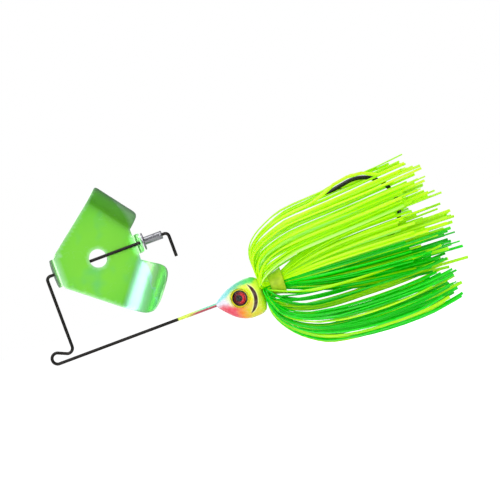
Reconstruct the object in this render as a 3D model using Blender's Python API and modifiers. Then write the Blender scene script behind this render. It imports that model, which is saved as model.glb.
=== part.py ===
"""Buzzbait: a surface lure with a bent wire form, a spinning delta blade, a cast head on a hook and a strand skirt.

Frame: metres, +X runs from the line tie along the arm to the hook, +Z points to the blade, and +Y is the far side.
The origin is the centre of the line-tie loop.
"""

import math
import random

import bmesh
import bpy
from mathutils import Matrix, Vector

COLLECTION_NAME = "buzzbait"
FINE = 0.000001  # merge distance for meshes this small

# Wire form
WIRE_DIAMETER = 0.0009
TIE_LOOP_RADIUS = 0.00155
TIE_DIP_RADIUS = 0.0015
RISER_X = 0.0050
TIE_DIP_Z = 0.00176
CORNER_RADIUS = 0.0011
TAIL_LENGTH = 0.0071
NOSE_BEHIND_SHAFT = 0.0055
WING_TO_ARM_GAP = 0.0023
WIRE_CAST_IN = 0.0088
WIRE_SIDESTEP = 0.00135
WIRE_HOOK_THROUGH = 0.0011

# Head casting
HEAD_LENGTH = 0.0137
HEAD_ABOVE_ARM = 0.0042
HEAD_BELOW_ARM = 0.0069
HEAD_WIDTH = 0.0090
HEAD_SIDES = 24
KEEPER_LENGTH = 0.0080
KEEPER_WALL = 0.00045
CAST_CLEARANCE = 0.00005
END_CROWN = 0.00025

# Eyes
EYE_RADIUS = 0.00265
EYE_DISC_THICKNESS = 0.0003
EYE_DOME_HEIGHT = 0.00095
EYE_FROM_NOSE = 0.0069
EYE_BELOW_ARM = 0.0004
EYE_SINK = 0.00062
EYE_CLEARANCE = 0.00006
EYE_GAP = 0.00004

# Hook
HOOK_WIRE_DIAMETER = 0.0012
HOOK_BEND_RADIUS = 0.0098
HOOK_SHANK_LENGTH = 0.0392
HOOK_EYE_RADIUS = 0.0016
HOOK_EYE_STEPS = 12
HOOK_POINT_LENGTH = 0.0074
HOOK_POINT_TAPER = 0.0034
HOOK_BEND_SWEEP = math.radians(189)
BARB_LENGTH = 0.0022

# Blade
SHEET_THICKNESS = 0.0005
BLADE_TILT = math.radians(18)
BLADE_FRONT_GAP = 0.0013
BLADE_FRONT_LENGTH = 0.0118
BLADE_REAR_LENGTH = 0.0115
BLADE_FRONT_HALF_WIDTH = 0.0047
BLADE_WING_ANGLE = math.radians(38)
WING_WIDTH = 0.0145
WING_LENGTH = 0.0337
WING_FLAT_LENGTH = 0.0190
WING_CURL_RADIUS = 0.0088
WING_CURL_BLEND = 0.0030
BLADE_HOLE_RADIUS = 0.0026
TAB_LEAN = math.radians(12)
TAB_BEND_RADIUS = 0.0008
TAB_HOLE_CLEARANCE = 0.0002
FRONT_TAB_HALF_WIDTH = 0.0040
REAR_TAB_HALF_WIDTH = 0.00275
TAB_BEYOND_HOLE = 0.0024

# Rivet
RIVET_BORE_CLEARANCE = 0.00006
RIVET_TUBE_RADIUS = 0.00118
RIVET_FLANGE_RADIUS = 0.0025
RIVET_FLANGE_THICKNESS = 0.00035
RIVET_TUBE_LENGTH = 0.0053
RIVET_FRONT_GAP = 0.0001
RIVET_REAR_PLAY = 0.0006

# Skirt
COLLAR_GAP_TO_HEAD = 0.0025
COLLAR_LENGTH = 0.0040
COLLAR_FLARE = 0.0010
COLLAR_WALL = 0.00045
STRAND_PAIRS = 22
STRAND_THICKNESS = 0.0004
STRAND_LAYER_GAP = 0.00015
STRAND_SIDE_GAP = 0.00002
STRAND_TO_HOOK_GAP = 0.0004
STRAND_POINTS = 15
SKIRT_DEPTH_RATIO = 0.85
FLARE_RADIUS_UP = 0.0205
FLARE_RADIUS_DOWN = 0.0232
REAR_FAN_RADIUS = 0.0108
REAR_FAN_DROOP = 0.0020
FRONT_STRAND_REACH = 0.0505
REAR_STRAND_REACH = 0.0515
OUTER_BOW_SETBACK = 0.0007
SKIRT_SEED = 11

# The least and greatest share that a strand draws at random: of its flare's or fan's radius, or of its reach
INNER_FLARE_SHARES = (0.80, 1.0)
OUTER_FLARE_SHARES_UP = (0.52, 0.78)
OUTER_FLARE_SHARES_DOWN = (0.62, 0.79)
INNER_FAN_SHARES = (0.24, 0.62)
OUTER_FAN_SHARES = (0.70, 1.0)
FRONT_REACH_SHARES = (0.80, 1.0)
REAR_REACH_SHARES = (0.84, 1.0)
SWEEP_GROWTH_SHARES = (0.98, 1.02)

# Each flare's outline: how far behind the head, then the share of the way out to the flare's radius
FLARE_UP = ((0.0007, 0.10), (-0.0001, 0.24), (-0.0003, 0.46), (0.0018, 0.65), (0.0060, 0.80), (0.0136, 0.935))
FLARE_DOWN = ((0.0007, 0.10), (0.0, 0.22), (0.0008, 0.38), (0.0036, 0.60), (0.0086, 0.805), (0.0150, 0.933))
# Each flare's last stretch: share of its reach, then of the way out
SWEPT_UP = ((0.50, 0.97), (0.75, 1.02), (1.0, 1.07))
SWEPT_DOWN = ((0.50, 1.01), (0.80, 1.03), (1.0, 0.97))
# A rear strand: share of its reach, then of the way out to the fan's radius
REAR_FAN = ((0.12, 0.30), (0.33, 0.66), (0.60, 0.90), (1.0, 1.06))

ARM_Z = -TIE_LOOP_RADIUS
WIRE_RADIUS = WIRE_DIAMETER / 2
HOOK_RADIUS = HOOK_WIRE_DIAMETER / 2
KEEPER_RADIUS = HOOK_RADIUS + CAST_CLEARANCE + KEEPER_WALL
TAB_BEND = math.pi / 2 + BLADE_TILT - TAB_LEAN
BLADE_LENGTH = BLADE_FRONT_LENGTH + BLADE_REAR_LENGTH
RIVET_LENGTH = RIVET_FLANGE_THICKNESS + RIVET_TUBE_LENGTH


def smooth_step(value):
    """0 below 0, 1 above 1, and a smooth rise between."""
    value = min(max(value, 0), 1)
    return value * value * (3 - 2 * value)


def bent_tab(distance):
    """(along, off) of a tab's middle surface at this distance past its bend line, for a bend in the off direction."""
    turned = min(distance / TAB_BEND_RADIUS, TAB_BEND)
    beyond = max(distance - TAB_BEND_RADIUS * TAB_BEND, 0)
    along = TAB_BEND_RADIUS * math.sin(turned) + beyond * math.cos(TAB_BEND)
    off = TAB_BEND_RADIUS * (1 - math.cos(turned)) + beyond * math.sin(TAB_BEND)
    return along, off


def tab_hole_distance(reach):
    """How far along a tab the shaft crosses it, for a tab whose bend line is this far from the blade's centre."""
    start = TAB_BEND_RADIUS * TAB_BEND
    along, off = bent_tab(start)
    slope = math.tan(BLADE_TILT)
    return start + ((reach + along) * slope - off) / (math.sin(TAB_BEND) - math.cos(TAB_BEND) * slope)


def wing_to_sheet(out, across):
    """(along, side) in the blade's plane of a point given along and across a wing."""
    cos, sin = math.cos(BLADE_WING_ANGLE), math.sin(BLADE_WING_ANGLE)
    return out * cos + across * sin, out * sin - across * cos


def blade_outline():
    """The flat pattern's outline for one side, from the front tab's end to the rear tab's end."""
    front_hole = tab_hole_distance(BLADE_FRONT_LENGTH)
    rear_hole = tab_hole_distance(BLADE_REAR_LENGTH)
    front_centre = -(front_hole + TAB_BEYOND_HOLE - FRONT_TAB_HALF_WIDTH)
    outline = []
    for step in range(7):
        angle = math.pi - math.pi / 2 * step / 6
        side = FRONT_TAB_HALF_WIDTH * math.sin(angle)
        outline.append((front_centre + FRONT_TAB_HALF_WIDTH * math.cos(angle), side))
    outline.append((0, FRONT_TAB_HALF_WIDTH))
    outline.append((0.0002, BLADE_FRONT_HALF_WIDTH))
    outer = -BLADE_FRONT_HALF_WIDTH * math.cos(BLADE_WING_ANGLE)
    end_radius = WING_WIDTH / 2
    for step in range(13):
        angle = -math.pi / 2 + math.pi * step / 12
        out = WING_LENGTH - end_radius + end_radius * math.cos(angle)
        outline.append(wing_to_sheet(out, outer + end_radius + end_radius * math.sin(angle)))
    root = (BLADE_LENGTH * math.sin(BLADE_WING_ANGLE) - (outer + WING_WIDTH)) / math.cos(BLADE_WING_ANGLE)
    outline.append((BLADE_LENGTH, root))
    outline.append((BLADE_LENGTH, REAR_TAB_HALF_WIDTH))
    rear_centre = BLADE_LENGTH + rear_hole + TAB_BEYOND_HOLE - REAR_TAB_HALF_WIDTH
    for step in range(7):
        angle = math.pi / 2 * (1 - step / 6)
        side = REAR_TAB_HALF_WIDTH * math.sin(angle)
        outline.append((rear_centre + REAR_TAB_HALF_WIDTH * math.cos(angle), side))
    return outline, front_hole, rear_hole


def bend_blade_point(flat):
    """Bends a point of the flat pattern into the blade's own frame, whose X is the shaft and whose origin is its hole."""
    along, side, _ = flat
    off = 0
    if along < 0:
        reach, off = bent_tab(-along)
        along, off = -reach, -off
    elif along > BLADE_LENGTH and abs(side) <= REAR_TAB_HALF_WIDTH + FINE:
        reach, off = bent_tab(along - BLADE_LENGTH)
        along = BLADE_LENGTH + reach
    else:
        cos, sin = math.cos(BLADE_WING_ANGLE), math.sin(BLADE_WING_ANGLE)
        out = along * cos + abs(side) * sin
        across = along * sin - abs(side) * cos
        blend = smooth_step((abs(side) - REAR_TAB_HALF_WIDTH) / WING_CURL_BLEND)
        excess = max(out - WING_FLAT_LENGTH, 0)
        turned = excess * blend / WING_CURL_RADIUS
        out = out - excess * blend + WING_CURL_RADIUS * math.sin(turned)
        off = -math.copysign(WING_CURL_RADIUS * (1 - math.cos(turned)), side)
        along, outward = wing_to_sheet(out, across)
        side = math.copysign(outward, side)
    along -= BLADE_FRONT_LENGTH
    x = along * math.cos(BLADE_TILT) + off * math.sin(BLADE_TILT)
    near = -along * math.sin(BLADE_TILT) + off * math.cos(BLADE_TILT)
    return Vector((x, -near, side))


# Where the pieces lie, worked out from the blade back along the shaft
BLADE_OUTLINE, FRONT_HOLE, REAR_HOLE = blade_outline()
BENT_OUTLINE = [bend_blade_point((along, side, 0)) for along, side in BLADE_OUTLINE]
BENT_OUTLINE += [bend_blade_point((along, -side, 0)) for along, side in BLADE_OUTLINE]
BLADE_FRONT_REACH = SHEET_THICKNESS / 2 - min(point.x for point in BENT_OUTLINE)
BLADE_SWEPT_RADIUS = SHEET_THICKNESS / 2 + max(math.hypot(point.y, point.z) for point in BENT_OUTLINE)
SHAFT_Z = ARM_Z + WIRE_RADIUS + WING_TO_ARM_GAP + BLADE_SWEPT_RADIUS
BLADE_CENTRE_X = RISER_X + WIRE_RADIUS + BLADE_FRONT_GAP + BLADE_FRONT_REACH
REAR_TAB_X = BLADE_CENTRE_X + bend_blade_point((BLADE_LENGTH + REAR_HOLE, 0, 0)).x
TAB_STANDOFF = SHEET_THICKNESS / 2 / math.cos(TAB_LEAN) + RIVET_FLANGE_RADIUS * math.tan(TAB_LEAN)
RIVET_X = REAR_TAB_X + TAB_STANDOFF + RIVET_FRONT_GAP
SHAFT_END_X = RIVET_X + RIVET_LENGTH + RIVET_REAR_PLAY + CORNER_RADIUS
ARM_LENGTH = SHAFT_END_X + NOSE_BEHIND_SHAFT
HEAD_REAR_X = ARM_LENGTH + HEAD_LENGTH
HOOK_EYE_X = ARM_LENGTH + WIRE_CAST_IN
COLLAR_X = HEAD_REAR_X + COLLAR_GAP_TO_HEAD
COLLAR_END_X = COLLAR_X + COLLAR_LENGTH
SIDE_BY_SIDE_RADIUS = STRAND_PAIRS * (STRAND_THICKNESS + STRAND_SIDE_GAP) / (2 * math.pi)
INNER_LAYER_RADIUS = max(KEEPER_RADIUS * 1.1 + STRAND_LAYER_GAP + STRAND_THICKNESS / 2, SIDE_BY_SIDE_RADIUS)
OUTER_LAYER_RADIUS = INNER_LAYER_RADIUS + STRAND_LAYER_GAP + STRAND_THICKNESS
COLLAR_FRONT_RADIUS = OUTER_LAYER_RADIUS + STRAND_THICKNESS / 2 + STRAND_LAYER_GAP + COLLAR_WALL
COLLAR_REAR_RADIUS = COLLAR_FRONT_RADIUS + COLLAR_FLARE
SKIRT_PARTING = HOOK_RADIUS + STRAND_THICKNESS / 2 + STRAND_TO_HOOK_GAP


def make_collection(name):
    """Returns a new collection linked to the scene."""
    collection = bpy.data.collections.new(name)
    bpy.context.scene.collection.children.link(collection)
    return collection


def make_material(name, colour, roughness, metallic):
    """Returns a plain Principled material."""
    material = bpy.data.materials.new(name)
    material.use_nodes = True
    shader = material.node_tree.nodes["Principled BSDF"]
    shader.inputs["Base Color"].default_value = (*colour, 1)
    shader.inputs["Roughness"].default_value = roughness
    shader.inputs["Metallic"].default_value = metallic
    return material


def add_object(name, data, collection, material=None):
    """Links an object with this data and material, and returns it."""
    thing = bpy.data.objects.new(name, data)
    collection.objects.link(thing)
    if material:
        data.materials.append(material)
    return thing


def mark_cutter(thing):
    """Keeps a cutter out of the model."""
    thing.hide_render = True
    thing.display_type = "WIRE"
    return thing


def add_wire(name, points, radius, collection, material=None, resolution=2, shares=None):
    """A round wire through these points; shares scale its radius point by point."""
    curve = bpy.data.curves.new(name, "CURVE")
    curve.dimensions = "3D"
    curve.bevel_depth = radius
    curve.bevel_resolution = resolution
    curve.use_fill_caps = True
    spline = curve.splines.new("POLY")
    spline.points.add(len(points) - 1)
    for index, place in enumerate(points):
        spline.points[index].co = (*place, 1)
        spline.points[index].radius = shares[index] if shares else 1
    return add_object(name, curve, collection, material)


def curve_to_mesh(thing, collection):
    """Swaps a curve object for a closed mesh object of the same name."""
    name = thing.name
    graph = bpy.context.evaluated_depsgraph_get()
    mesh = bpy.data.meshes.new_from_object(thing.evaluated_get(graph))
    matrix = thing.matrix_world.copy()
    bpy.data.objects.remove(thing)
    work = bmesh.new()
    work.from_mesh(mesh)
    bmesh.ops.remove_doubles(work, verts=work.verts, dist=FINE)
    bmesh.ops.recalc_face_normals(work, faces=work.faces)
    work.to_mesh(mesh)
    work.free()
    solid = add_object(name, mesh, collection)
    solid.matrix_world = matrix
    return solid


def add_turned(name, profile, steps, collection, material=None, closed=True):
    """A turned solid about its own Z axis from (radius, height) points, run down the outer side."""
    mesh = bpy.data.meshes.new(name)
    links = [(i, i + 1) for i in range(len(profile) - 1)]
    if closed:
        links.append((len(profile) - 1, 0))
    mesh.from_pydata([(radius, 0, height) for radius, height in profile], links, [])
    thing = add_object(name, mesh, collection, material)
    screw = thing.modifiers.new("turn", "SCREW")
    screw.axis = "Z"
    screw.steps = steps
    screw.render_steps = steps
    screw.use_merge_vertices = True
    screw.merge_threshold = FINE
    return thing


def cut(thing, cutter, kind="DIFFERENCE"):
    """Adds an exact Boolean with this cutter."""
    boolean = thing.modifiers.new(cutter.name, "BOOLEAN")
    boolean.operation = kind
    boolean.object = cutter
    boolean.solver = "EXACT"


def arc(centre, radius, start, sweep, steps):
    """Points in the XZ plane along an arc, both ends included."""
    angles = [start + sweep * step / steps for step in range(steps + 1)]
    return [Vector((centre[0] + radius * math.cos(a), 0, centre[1] + radius * math.sin(a))) for a in angles]


def spline_point(knots, place):
    """A point at place (in knots) on the smooth curve through the knots."""
    index = min(int(place), len(knots) - 2)
    t = place - index
    before = knots[max(index - 1, 0)]
    here = knots[index]
    after = knots[index + 1]
    beyond = knots[min(index + 2, len(knots) - 1)]
    bend = (2 * before - 5 * here + 4 * after - beyond) * t * t
    twist = (3 * here - before - 3 * after + beyond) * t * t * t
    return 0.5 * (2 * here + (after - before) * t + bend + twist)


def wire_in_head():
    """The arm's cast-in end: a side step past the hook's eye, then a leg through it."""
    eye_front = HOOK_EYE_X - HOOK_EYE_RADIUS - HOOK_RADIUS
    step_start = eye_front - 1.6 * WIRE_SIDESTEP
    return [
        Vector((HOOK_EYE_X, WIRE_HOOK_THROUGH, ARM_Z)),
        Vector((HOOK_EYE_X, -0.4 * WIRE_SIDESTEP, ARM_Z)),
        Vector((HOOK_EYE_X - 0.3 * WIRE_SIDESTEP, -0.9 * WIRE_SIDESTEP, ARM_Z)),
        Vector((HOOK_EYE_X - WIRE_SIDESTEP, -WIRE_SIDESTEP, ARM_Z)),
        Vector((eye_front, -WIRE_SIDESTEP, ARM_Z)),
        Vector((step_start, 0, ARM_Z)),
    ]


def wire_path():
    """The wire's centre line from inside the head to the tail behind the blade."""
    points = wire_in_head()
    points += [Vector((ARM_LENGTH, 0, ARM_Z)), Vector((ARM_LENGTH / 2, 0, ARM_Z))]
    dip = Vector((RISER_X - TIE_DIP_RADIUS, TIE_DIP_Z))
    lean = math.atan2(dip.y, dip.x) - math.asin((TIE_LOOP_RADIUS + TIE_DIP_RADIUS) / dip.length)
    loop_sweep = lean - math.pi
    points += arc((0, 0), TIE_LOOP_RADIUS, -math.pi / 2, loop_sweep, 14)
    points += arc(dip, TIE_DIP_RADIUS, lean - math.pi / 2, math.pi / 2 - lean, 7)
    corner = (RISER_X + CORNER_RADIUS, SHAFT_Z - CORNER_RADIUS)
    points += arc(corner, CORNER_RADIUS, math.pi, -math.pi / 2, 5)
    end = (SHAFT_END_X - CORNER_RADIUS, SHAFT_Z - CORNER_RADIUS)
    points += arc(end, CORNER_RADIUS, math.pi / 2, -math.pi / 2, 5)
    points.append(Vector((SHAFT_END_X, 0, SHAFT_Z - TAIL_LENGTH)))
    return points


def hook_path():
    """The hook's centre line from its eye to its point, with the share of its radius at each point."""
    gap = math.radians(42)
    points = arc((HOOK_EYE_X, ARM_Z), HOOK_EYE_RADIUS, gap, 2 * (math.pi - gap), HOOK_EYE_STEPS)
    shank_start = HOOK_EYE_X + 1.7 * HOOK_EYE_RADIUS
    bend_x = HOOK_EYE_X + HOOK_SHANK_LENGTH
    points += [Vector((shank_start, 0, ARM_Z)), Vector(((shank_start + bend_x) / 2, 0, ARM_Z))]
    points += arc((bend_x, ARM_Z + HOOK_BEND_RADIUS), HOOK_BEND_RADIUS, -math.pi / 2, HOOK_BEND_SWEEP, 18)
    heading = Vector((math.cos(HOOK_BEND_SWEEP), 0, math.sin(HOOK_BEND_SWEEP)))
    shares = [1.0] * len(points)
    bend_end = points[-1]
    straight = HOOK_POINT_LENGTH - HOOK_POINT_TAPER
    for distance, share in ((straight, 1), (straight + 0.6 * HOOK_POINT_TAPER, 0.6), (HOOK_POINT_LENGTH, 0.12)):
        points.append(bend_end + heading * distance)
        shares.append(share)
    return points, shares, bend_end, heading


# Head outline: share of the length, then shares of the height above, the height below and the half width.
HEAD_STATIONS = (
    (0.0, 0.14, 0.09, 0.14),
    (0.04, 0.22, 0.20, 0.22),
    (0.13, 0.42, 0.42, 0.42),
    (0.27, 0.67, 0.70, 0.66),
    (0.42, 0.85, 0.89, 0.84),
    (0.58, 0.97, 0.99, 0.96),
    (0.72, 1.0, 1.0, 1.0),
    (0.85, 0.95, 0.97, 0.96),
    (0.94, 0.78, 0.85, 0.82),
    (0.985, 0.50, 0.58, 0.55),
)


def head_section(share):
    """(above, below, half width) of the head at this share of its length."""
    last = HEAD_STATIONS[-1]
    for low, high in zip(HEAD_STATIONS, HEAD_STATIONS[1:]):
        if share <= high[0]:
            t = (share - low[0]) / (high[0] - low[0])
            last = [a + (b - a) * t for a, b in zip(low, high)]
            break
    return last[1] * HEAD_ABOVE_ARM, last[2] * HEAD_BELOW_ARM, last[3] * HEAD_WIDTH / 2


def head_rings():
    """(x, above, below, half width) of every ring of the casting, from the nose to the keeper's end."""
    rings = [(ARM_LENGTH + share * HEAD_LENGTH, *head_section(share)) for share, *_ in HEAD_STATIONS]
    keeper = (KEEPER_RADIUS, KEEPER_RADIUS, KEEPER_RADIUS)
    barb = tuple(1.1 * size for size in keeper)
    end_x = HEAD_REAR_X + KEEPER_LENGTH
    rings += [(HEAD_REAR_X + 0.0003, *keeper), (end_x - 0.0022, *keeper), (end_x - 0.0016, *barb)]
    rings += [(end_x - 0.0004, *keeper), (end_x, *(0.9 * size for size in keeper))]
    return rings


def add_head(collection, cutters, material):
    """The cast head with its keeper, cut for the wire, the hook and the eyes."""
    rings = head_rings()
    mesh = bpy.data.meshes.new("head")
    work = bmesh.new()
    bmesh.ops.create_uvsphere(work, u_segments=HEAD_SIDES, v_segments=len(rings) + 1, radius=1)
    for vertex in work.verts:
        index = round(math.acos(max(-1, min(1, vertex.co.z))) / math.pi * (len(rings) + 1))
        if index in (0, len(rings) + 1):
            vertex.co = (rings[0][0] - END_CROWN if index == 0 else rings[-1][0] + END_CROWN, 0, ARM_Z)
            continue
        x, above, below, half_width = rings[index - 1]
        around = math.atan2(vertex.co.y, vertex.co.x) + math.pi / HEAD_SIDES
        rise = math.sin(around)
        vertex.co = (x, half_width * math.cos(around), ARM_Z + (above if rise > 0 else below) * rise)
    bmesh.ops.reverse_faces(work, faces=work.faces)
    work.to_mesh(mesh)
    work.free()
    mesh.shade_smooth()
    head = add_object("head_casting", mesh, collection, material)

    wire_end = wire_in_head() + [Vector((ARM_LENGTH - 0.002, 0, ARM_Z))]
    wire_end[0] = wire_end[0] + Vector((0, CAST_CLEARANCE, 0))
    wire_cutter = add_wire("cut_wire", wire_end, WIRE_RADIUS + CAST_CLEARANCE, cutters)
    cut(head, mark_cutter(curve_to_mesh(wire_cutter, cutters)))
    points, shares, _, _ = hook_path()
    shank_part = points[: HOOK_EYE_STEPS + 3]  # the eye, then the shank out to its middle
    lead = (shank_part[1] - shank_part[0]).normalized()
    shank_part[0] = shank_part[0] - lead * CAST_CLEARANCE
    hook_cutter = add_wire("cut_hook", shank_part, HOOK_RADIUS + CAST_CLEARANCE, cutters)
    cut(head, mark_cutter(curve_to_mesh(hook_cutter, cutters)))
    for side in (-1, 1):
        name = "cut_eye_near" if side < 0 else "cut_eye_far"
        pocket = bpy.data.meshes.new(name)
        work = bmesh.new()
        depth = 3 * EYE_SINK + 0.002
        radius = EYE_RADIUS + EYE_CLEARANCE
        bmesh.ops.create_cone(
            work, cap_ends=True, segments=32, radius1=radius, radius2=radius, depth=depth,
            matrix=Matrix.Translation((0, 0, depth / 2 - EYE_GAP)),
        )
        work.to_mesh(pocket)
        work.free()
        cutter = add_object(name, pocket, cutters)
        cutter.matrix_world = eye_matrix(side)
        cut(head, mark_cutter(cutter))
    return head


def eye_matrix(side):
    """Places an eye: its own Z points out of the head's side, which is -1 near or +1 far."""
    share = EYE_FROM_NOSE / HEAD_LENGTH
    reach = EYE_RADIUS / HEAD_LENGTH
    widths = [head_section(share + step)[2] for step in (-reach, 0, reach)]
    slope = math.atan2(widths[2] - widths[0], 2 * EYE_RADIUS)
    centre = Vector((ARM_LENGTH + EYE_FROM_NOSE, side * (widths[1] - EYE_SINK), ARM_Z - EYE_BELOW_ARM))
    outward = Vector((-math.sin(slope), side * math.cos(slope), 0))
    along = Vector((math.cos(slope), side * math.sin(slope), 0))
    up = outward.cross(along)
    turn = Matrix((along, up, outward)).transposed()
    return Matrix.Translation(centre) @ turn.to_4x4()


def add_eyes(collection, disc_material, dome_material):
    """A printed disc and a clear dome in each pocket."""
    for side, label in ((-1, "near"), (1, "far")):
        disc = [(0, EYE_DISC_THICKNESS), (EYE_RADIUS, EYE_DISC_THICKNESS), (EYE_RADIUS, 0), (0, 0)]
        thing = add_turned(f"eye_disc_{label}", disc, 28, collection, disc_material, closed=False)
        thing.matrix_world = eye_matrix(side)
        base = EYE_DISC_THICKNESS + EYE_GAP
        rim = base + 0.0002
        dome = []
        for step in range(5):
            angle = math.pi / 2 * (1 - step / 5)
            dome.append((EYE_RADIUS * math.cos(angle), rim + EYE_DOME_HEIGHT * math.sin(angle)))
        dome[0] = (0, dome[0][1])
        dome += [(EYE_RADIUS, rim), (EYE_RADIUS, base), (0, base)]
        thing = add_turned(f"eye_dome_{label}", dome, 28, collection, dome_material, closed=False)
        thing.matrix_world = eye_matrix(side)


def add_hook(collection, cutters, material):
    """The hook with its barb."""
    points, shares, bend_end, heading = hook_path()
    hook = add_wire("hook", points, HOOK_RADIUS, collection, shares=shares)
    hook = curve_to_mesh(hook, collection)
    hook.data.materials.append(material)
    hook.data.shade_smooth()
    barb = bpy.data.meshes.new("add_barb")
    work = bmesh.new()
    bmesh.ops.create_cone(
        work, cap_ends=True, segments=6, radius1=0.75 * HOOK_RADIUS, radius2=0.05 * HOOK_RADIUS, depth=BARB_LENGTH
    )
    work.to_mesh(barb)
    work.free()
    wedge = add_object("add_barb", barb, cutters)
    base = bend_end + heading * (HOOK_POINT_LENGTH - HOOK_POINT_TAPER)
    inward = Vector((heading.z, 0, -heading.x)) * -1
    direction = (-heading + 0.42 * inward).normalized()
    turn = direction.to_track_quat("Z", "Y").to_matrix().to_4x4()
    wedge.matrix_world = Matrix.Translation(base + direction * BARB_LENGTH / 2 + 0.15 * HOOK_RADIUS * inward) @ turn
    cut(hook, mark_cutter(wedge), "UNION")
    return hook


def add_loop(work, points):
    """Adds a closed loop of edges in the flat pattern."""
    corners = [work.verts.new((x, y, 0)) for x, y in points]
    return [work.edges.new((corners[i - 1], corners[i])) for i in range(len(corners))]


def circle(centre, radius, steps):
    """Points round a circle in the flat pattern."""
    angles = [2 * math.pi * step / steps for step in range(steps)]
    return [(centre + radius * math.cos(a), radius * math.sin(a)) for a in angles]


def split_at(work, place, normal, chosen):
    """Cuts the chosen faces along a line of the flat pattern."""
    faces = [face for face in work.faces if chosen(face.calc_center_median())]
    parts = set(faces)
    for face in faces:
        parts.update(face.edges)
        parts.update(face.verts)
    bmesh.ops.bisect_plane(work, geom=list(parts), dist=FINE, plane_co=place, plane_no=normal)


def in_rear_tab(centre):
    """True for a face of the flat pattern that the rear tab's bend may cross."""
    return centre.x > BLADE_LENGTH - FRONT_TAB_HALF_WIDTH and abs(centre.y) < REAR_TAB_HALF_WIDTH


def add_blade(collection, material):
    """The folded sheet blade: cut flat, split along its bends, then bent."""
    mirrored = [(along, -side) for along, side in reversed(BLADE_OUTLINE[1:-1])]
    tab_hole_radius = WIRE_RADIUS + TAB_HOLE_CLEARANCE
    work = bmesh.new()
    edges = add_loop(work, BLADE_OUTLINE + mirrored)
    edges += add_loop(work, circle(BLADE_FRONT_LENGTH, BLADE_HOLE_RADIUS, 24))
    edges += add_loop(work, circle(-FRONT_HOLE, tab_hole_radius, 12))
    edges += add_loop(work, circle(BLADE_LENGTH + REAR_HOLE, tab_hole_radius, 12))
    bmesh.ops.triangle_fill(work, use_beauty=True, use_dissolve=False, edges=edges)
    split_at(work, (0, 0, 0), (0, 1, 0), lambda centre: True)
    bend_length = TAB_BEND_RADIUS * TAB_BEND
    for step in range(4):
        offset = bend_length * step / 3
        split_at(work, (-offset, 0, 0), (1, 0, 0), lambda centre: centre.x < FRONT_TAB_HALF_WIDTH)
        split_at(work, (BLADE_LENGTH + offset, 0, 0), (1, 0, 0), in_rear_tab)
    curl = WING_LENGTH - WING_FLAT_LENGTH
    for side in (-1, 1):
        normal = Vector((math.cos(BLADE_WING_ANGLE), side * math.sin(BLADE_WING_ANGLE), 0))
        for step in range(8):
            place = normal * (WING_FLAT_LENGTH + curl * step / 8)
            split_at(work, place, normal, lambda centre: centre.y * side > 0)
    bmesh.ops.triangulate(work, faces=work.faces)
    bmesh.ops.remove_doubles(work, verts=work.verts, dist=10 * FINE)
    for vertex in work.verts:
        vertex.co = bend_blade_point(vertex.co)
    bmesh.ops.recalc_face_normals(work, faces=work.faces)
    mesh = bpy.data.meshes.new("blade")
    work.to_mesh(mesh)
    work.free()
    blade = add_object("buzz_blade", mesh, collection, material)
    blade.location = (BLADE_CENTRE_X, 0, SHAFT_Z)
    sheet = blade.modifiers.new("sheet", "SOLIDIFY")
    sheet.thickness = SHEET_THICKNESS
    sheet.offset = 0
    return blade


def add_rivet(collection, material):
    """The flanged sleeve that runs on the shaft behind the blade."""
    bore = WIRE_RADIUS + RIVET_BORE_CLEARANCE
    length = RIVET_LENGTH
    profile = [
        (bore, length),
        (RIVET_TUBE_RADIUS - 0.00012, length),
        (RIVET_TUBE_RADIUS, length - 0.00012),
        (RIVET_TUBE_RADIUS, RIVET_FLANGE_THICKNESS),
        (RIVET_FLANGE_RADIUS, RIVET_FLANGE_THICKNESS),
        (RIVET_FLANGE_RADIUS, 0),
        (bore, 0),
    ]
    rivet = add_turned("bearing_rivet", profile, 24, collection, material)
    rivet.matrix_world = Matrix.Translation((RIVET_X, 0, SHAFT_Z)) @ Matrix.Rotation(math.pi / 2, 4, "Y")
    return rivet


def add_collar(collection, material):
    """The flared rubber collar that holds the strands on the keeper."""
    profile = [
        (COLLAR_REAR_RADIUS - COLLAR_WALL, COLLAR_LENGTH),
        (COLLAR_REAR_RADIUS, COLLAR_LENGTH),
        (COLLAR_FRONT_RADIUS, 0),
        (COLLAR_FRONT_RADIUS - COLLAR_WALL, 0),
    ]
    collar = add_turned("skirt_collar", profile, 28, collection, material)
    collar.matrix_world = Matrix.Translation((COLLAR_X, 0, ARM_Z)) @ Matrix.Rotation(math.pi / 2, 4, "Y")
    return collar


def spread_strand(x, radius, turn, flared):
    """Turns a strand's place behind the head into a point: the skirt parts up and down, and round the hook."""
    squeeze = 0.48 * smooth_step((radius - 0.004) / 0.008) if flared else 0
    if math.cos(turn) >= 0:
        turn = math.remainder(turn, 2 * math.pi) * (1 - squeeze)
    else:
        turn = math.pi + math.remainder(turn - math.pi, 2 * math.pi) * (1 - squeeze)
    depth = 1 - (1 - SKIRT_DEPTH_RATIO) * smooth_step((radius - 0.003) / 0.006)
    side = depth * radius * math.sin(turn)
    side += math.copysign(SKIRT_PARTING, side) * smooth_step((x - COLLAR_END_X) / 0.014)
    droop = 0 if flared else REAR_FAN_DROOP * smooth_step((x - COLLAR_END_X) / REAR_STRAND_REACH)
    return Vector((x, side, ARM_Z - droop + radius * math.cos(turn)))


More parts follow.
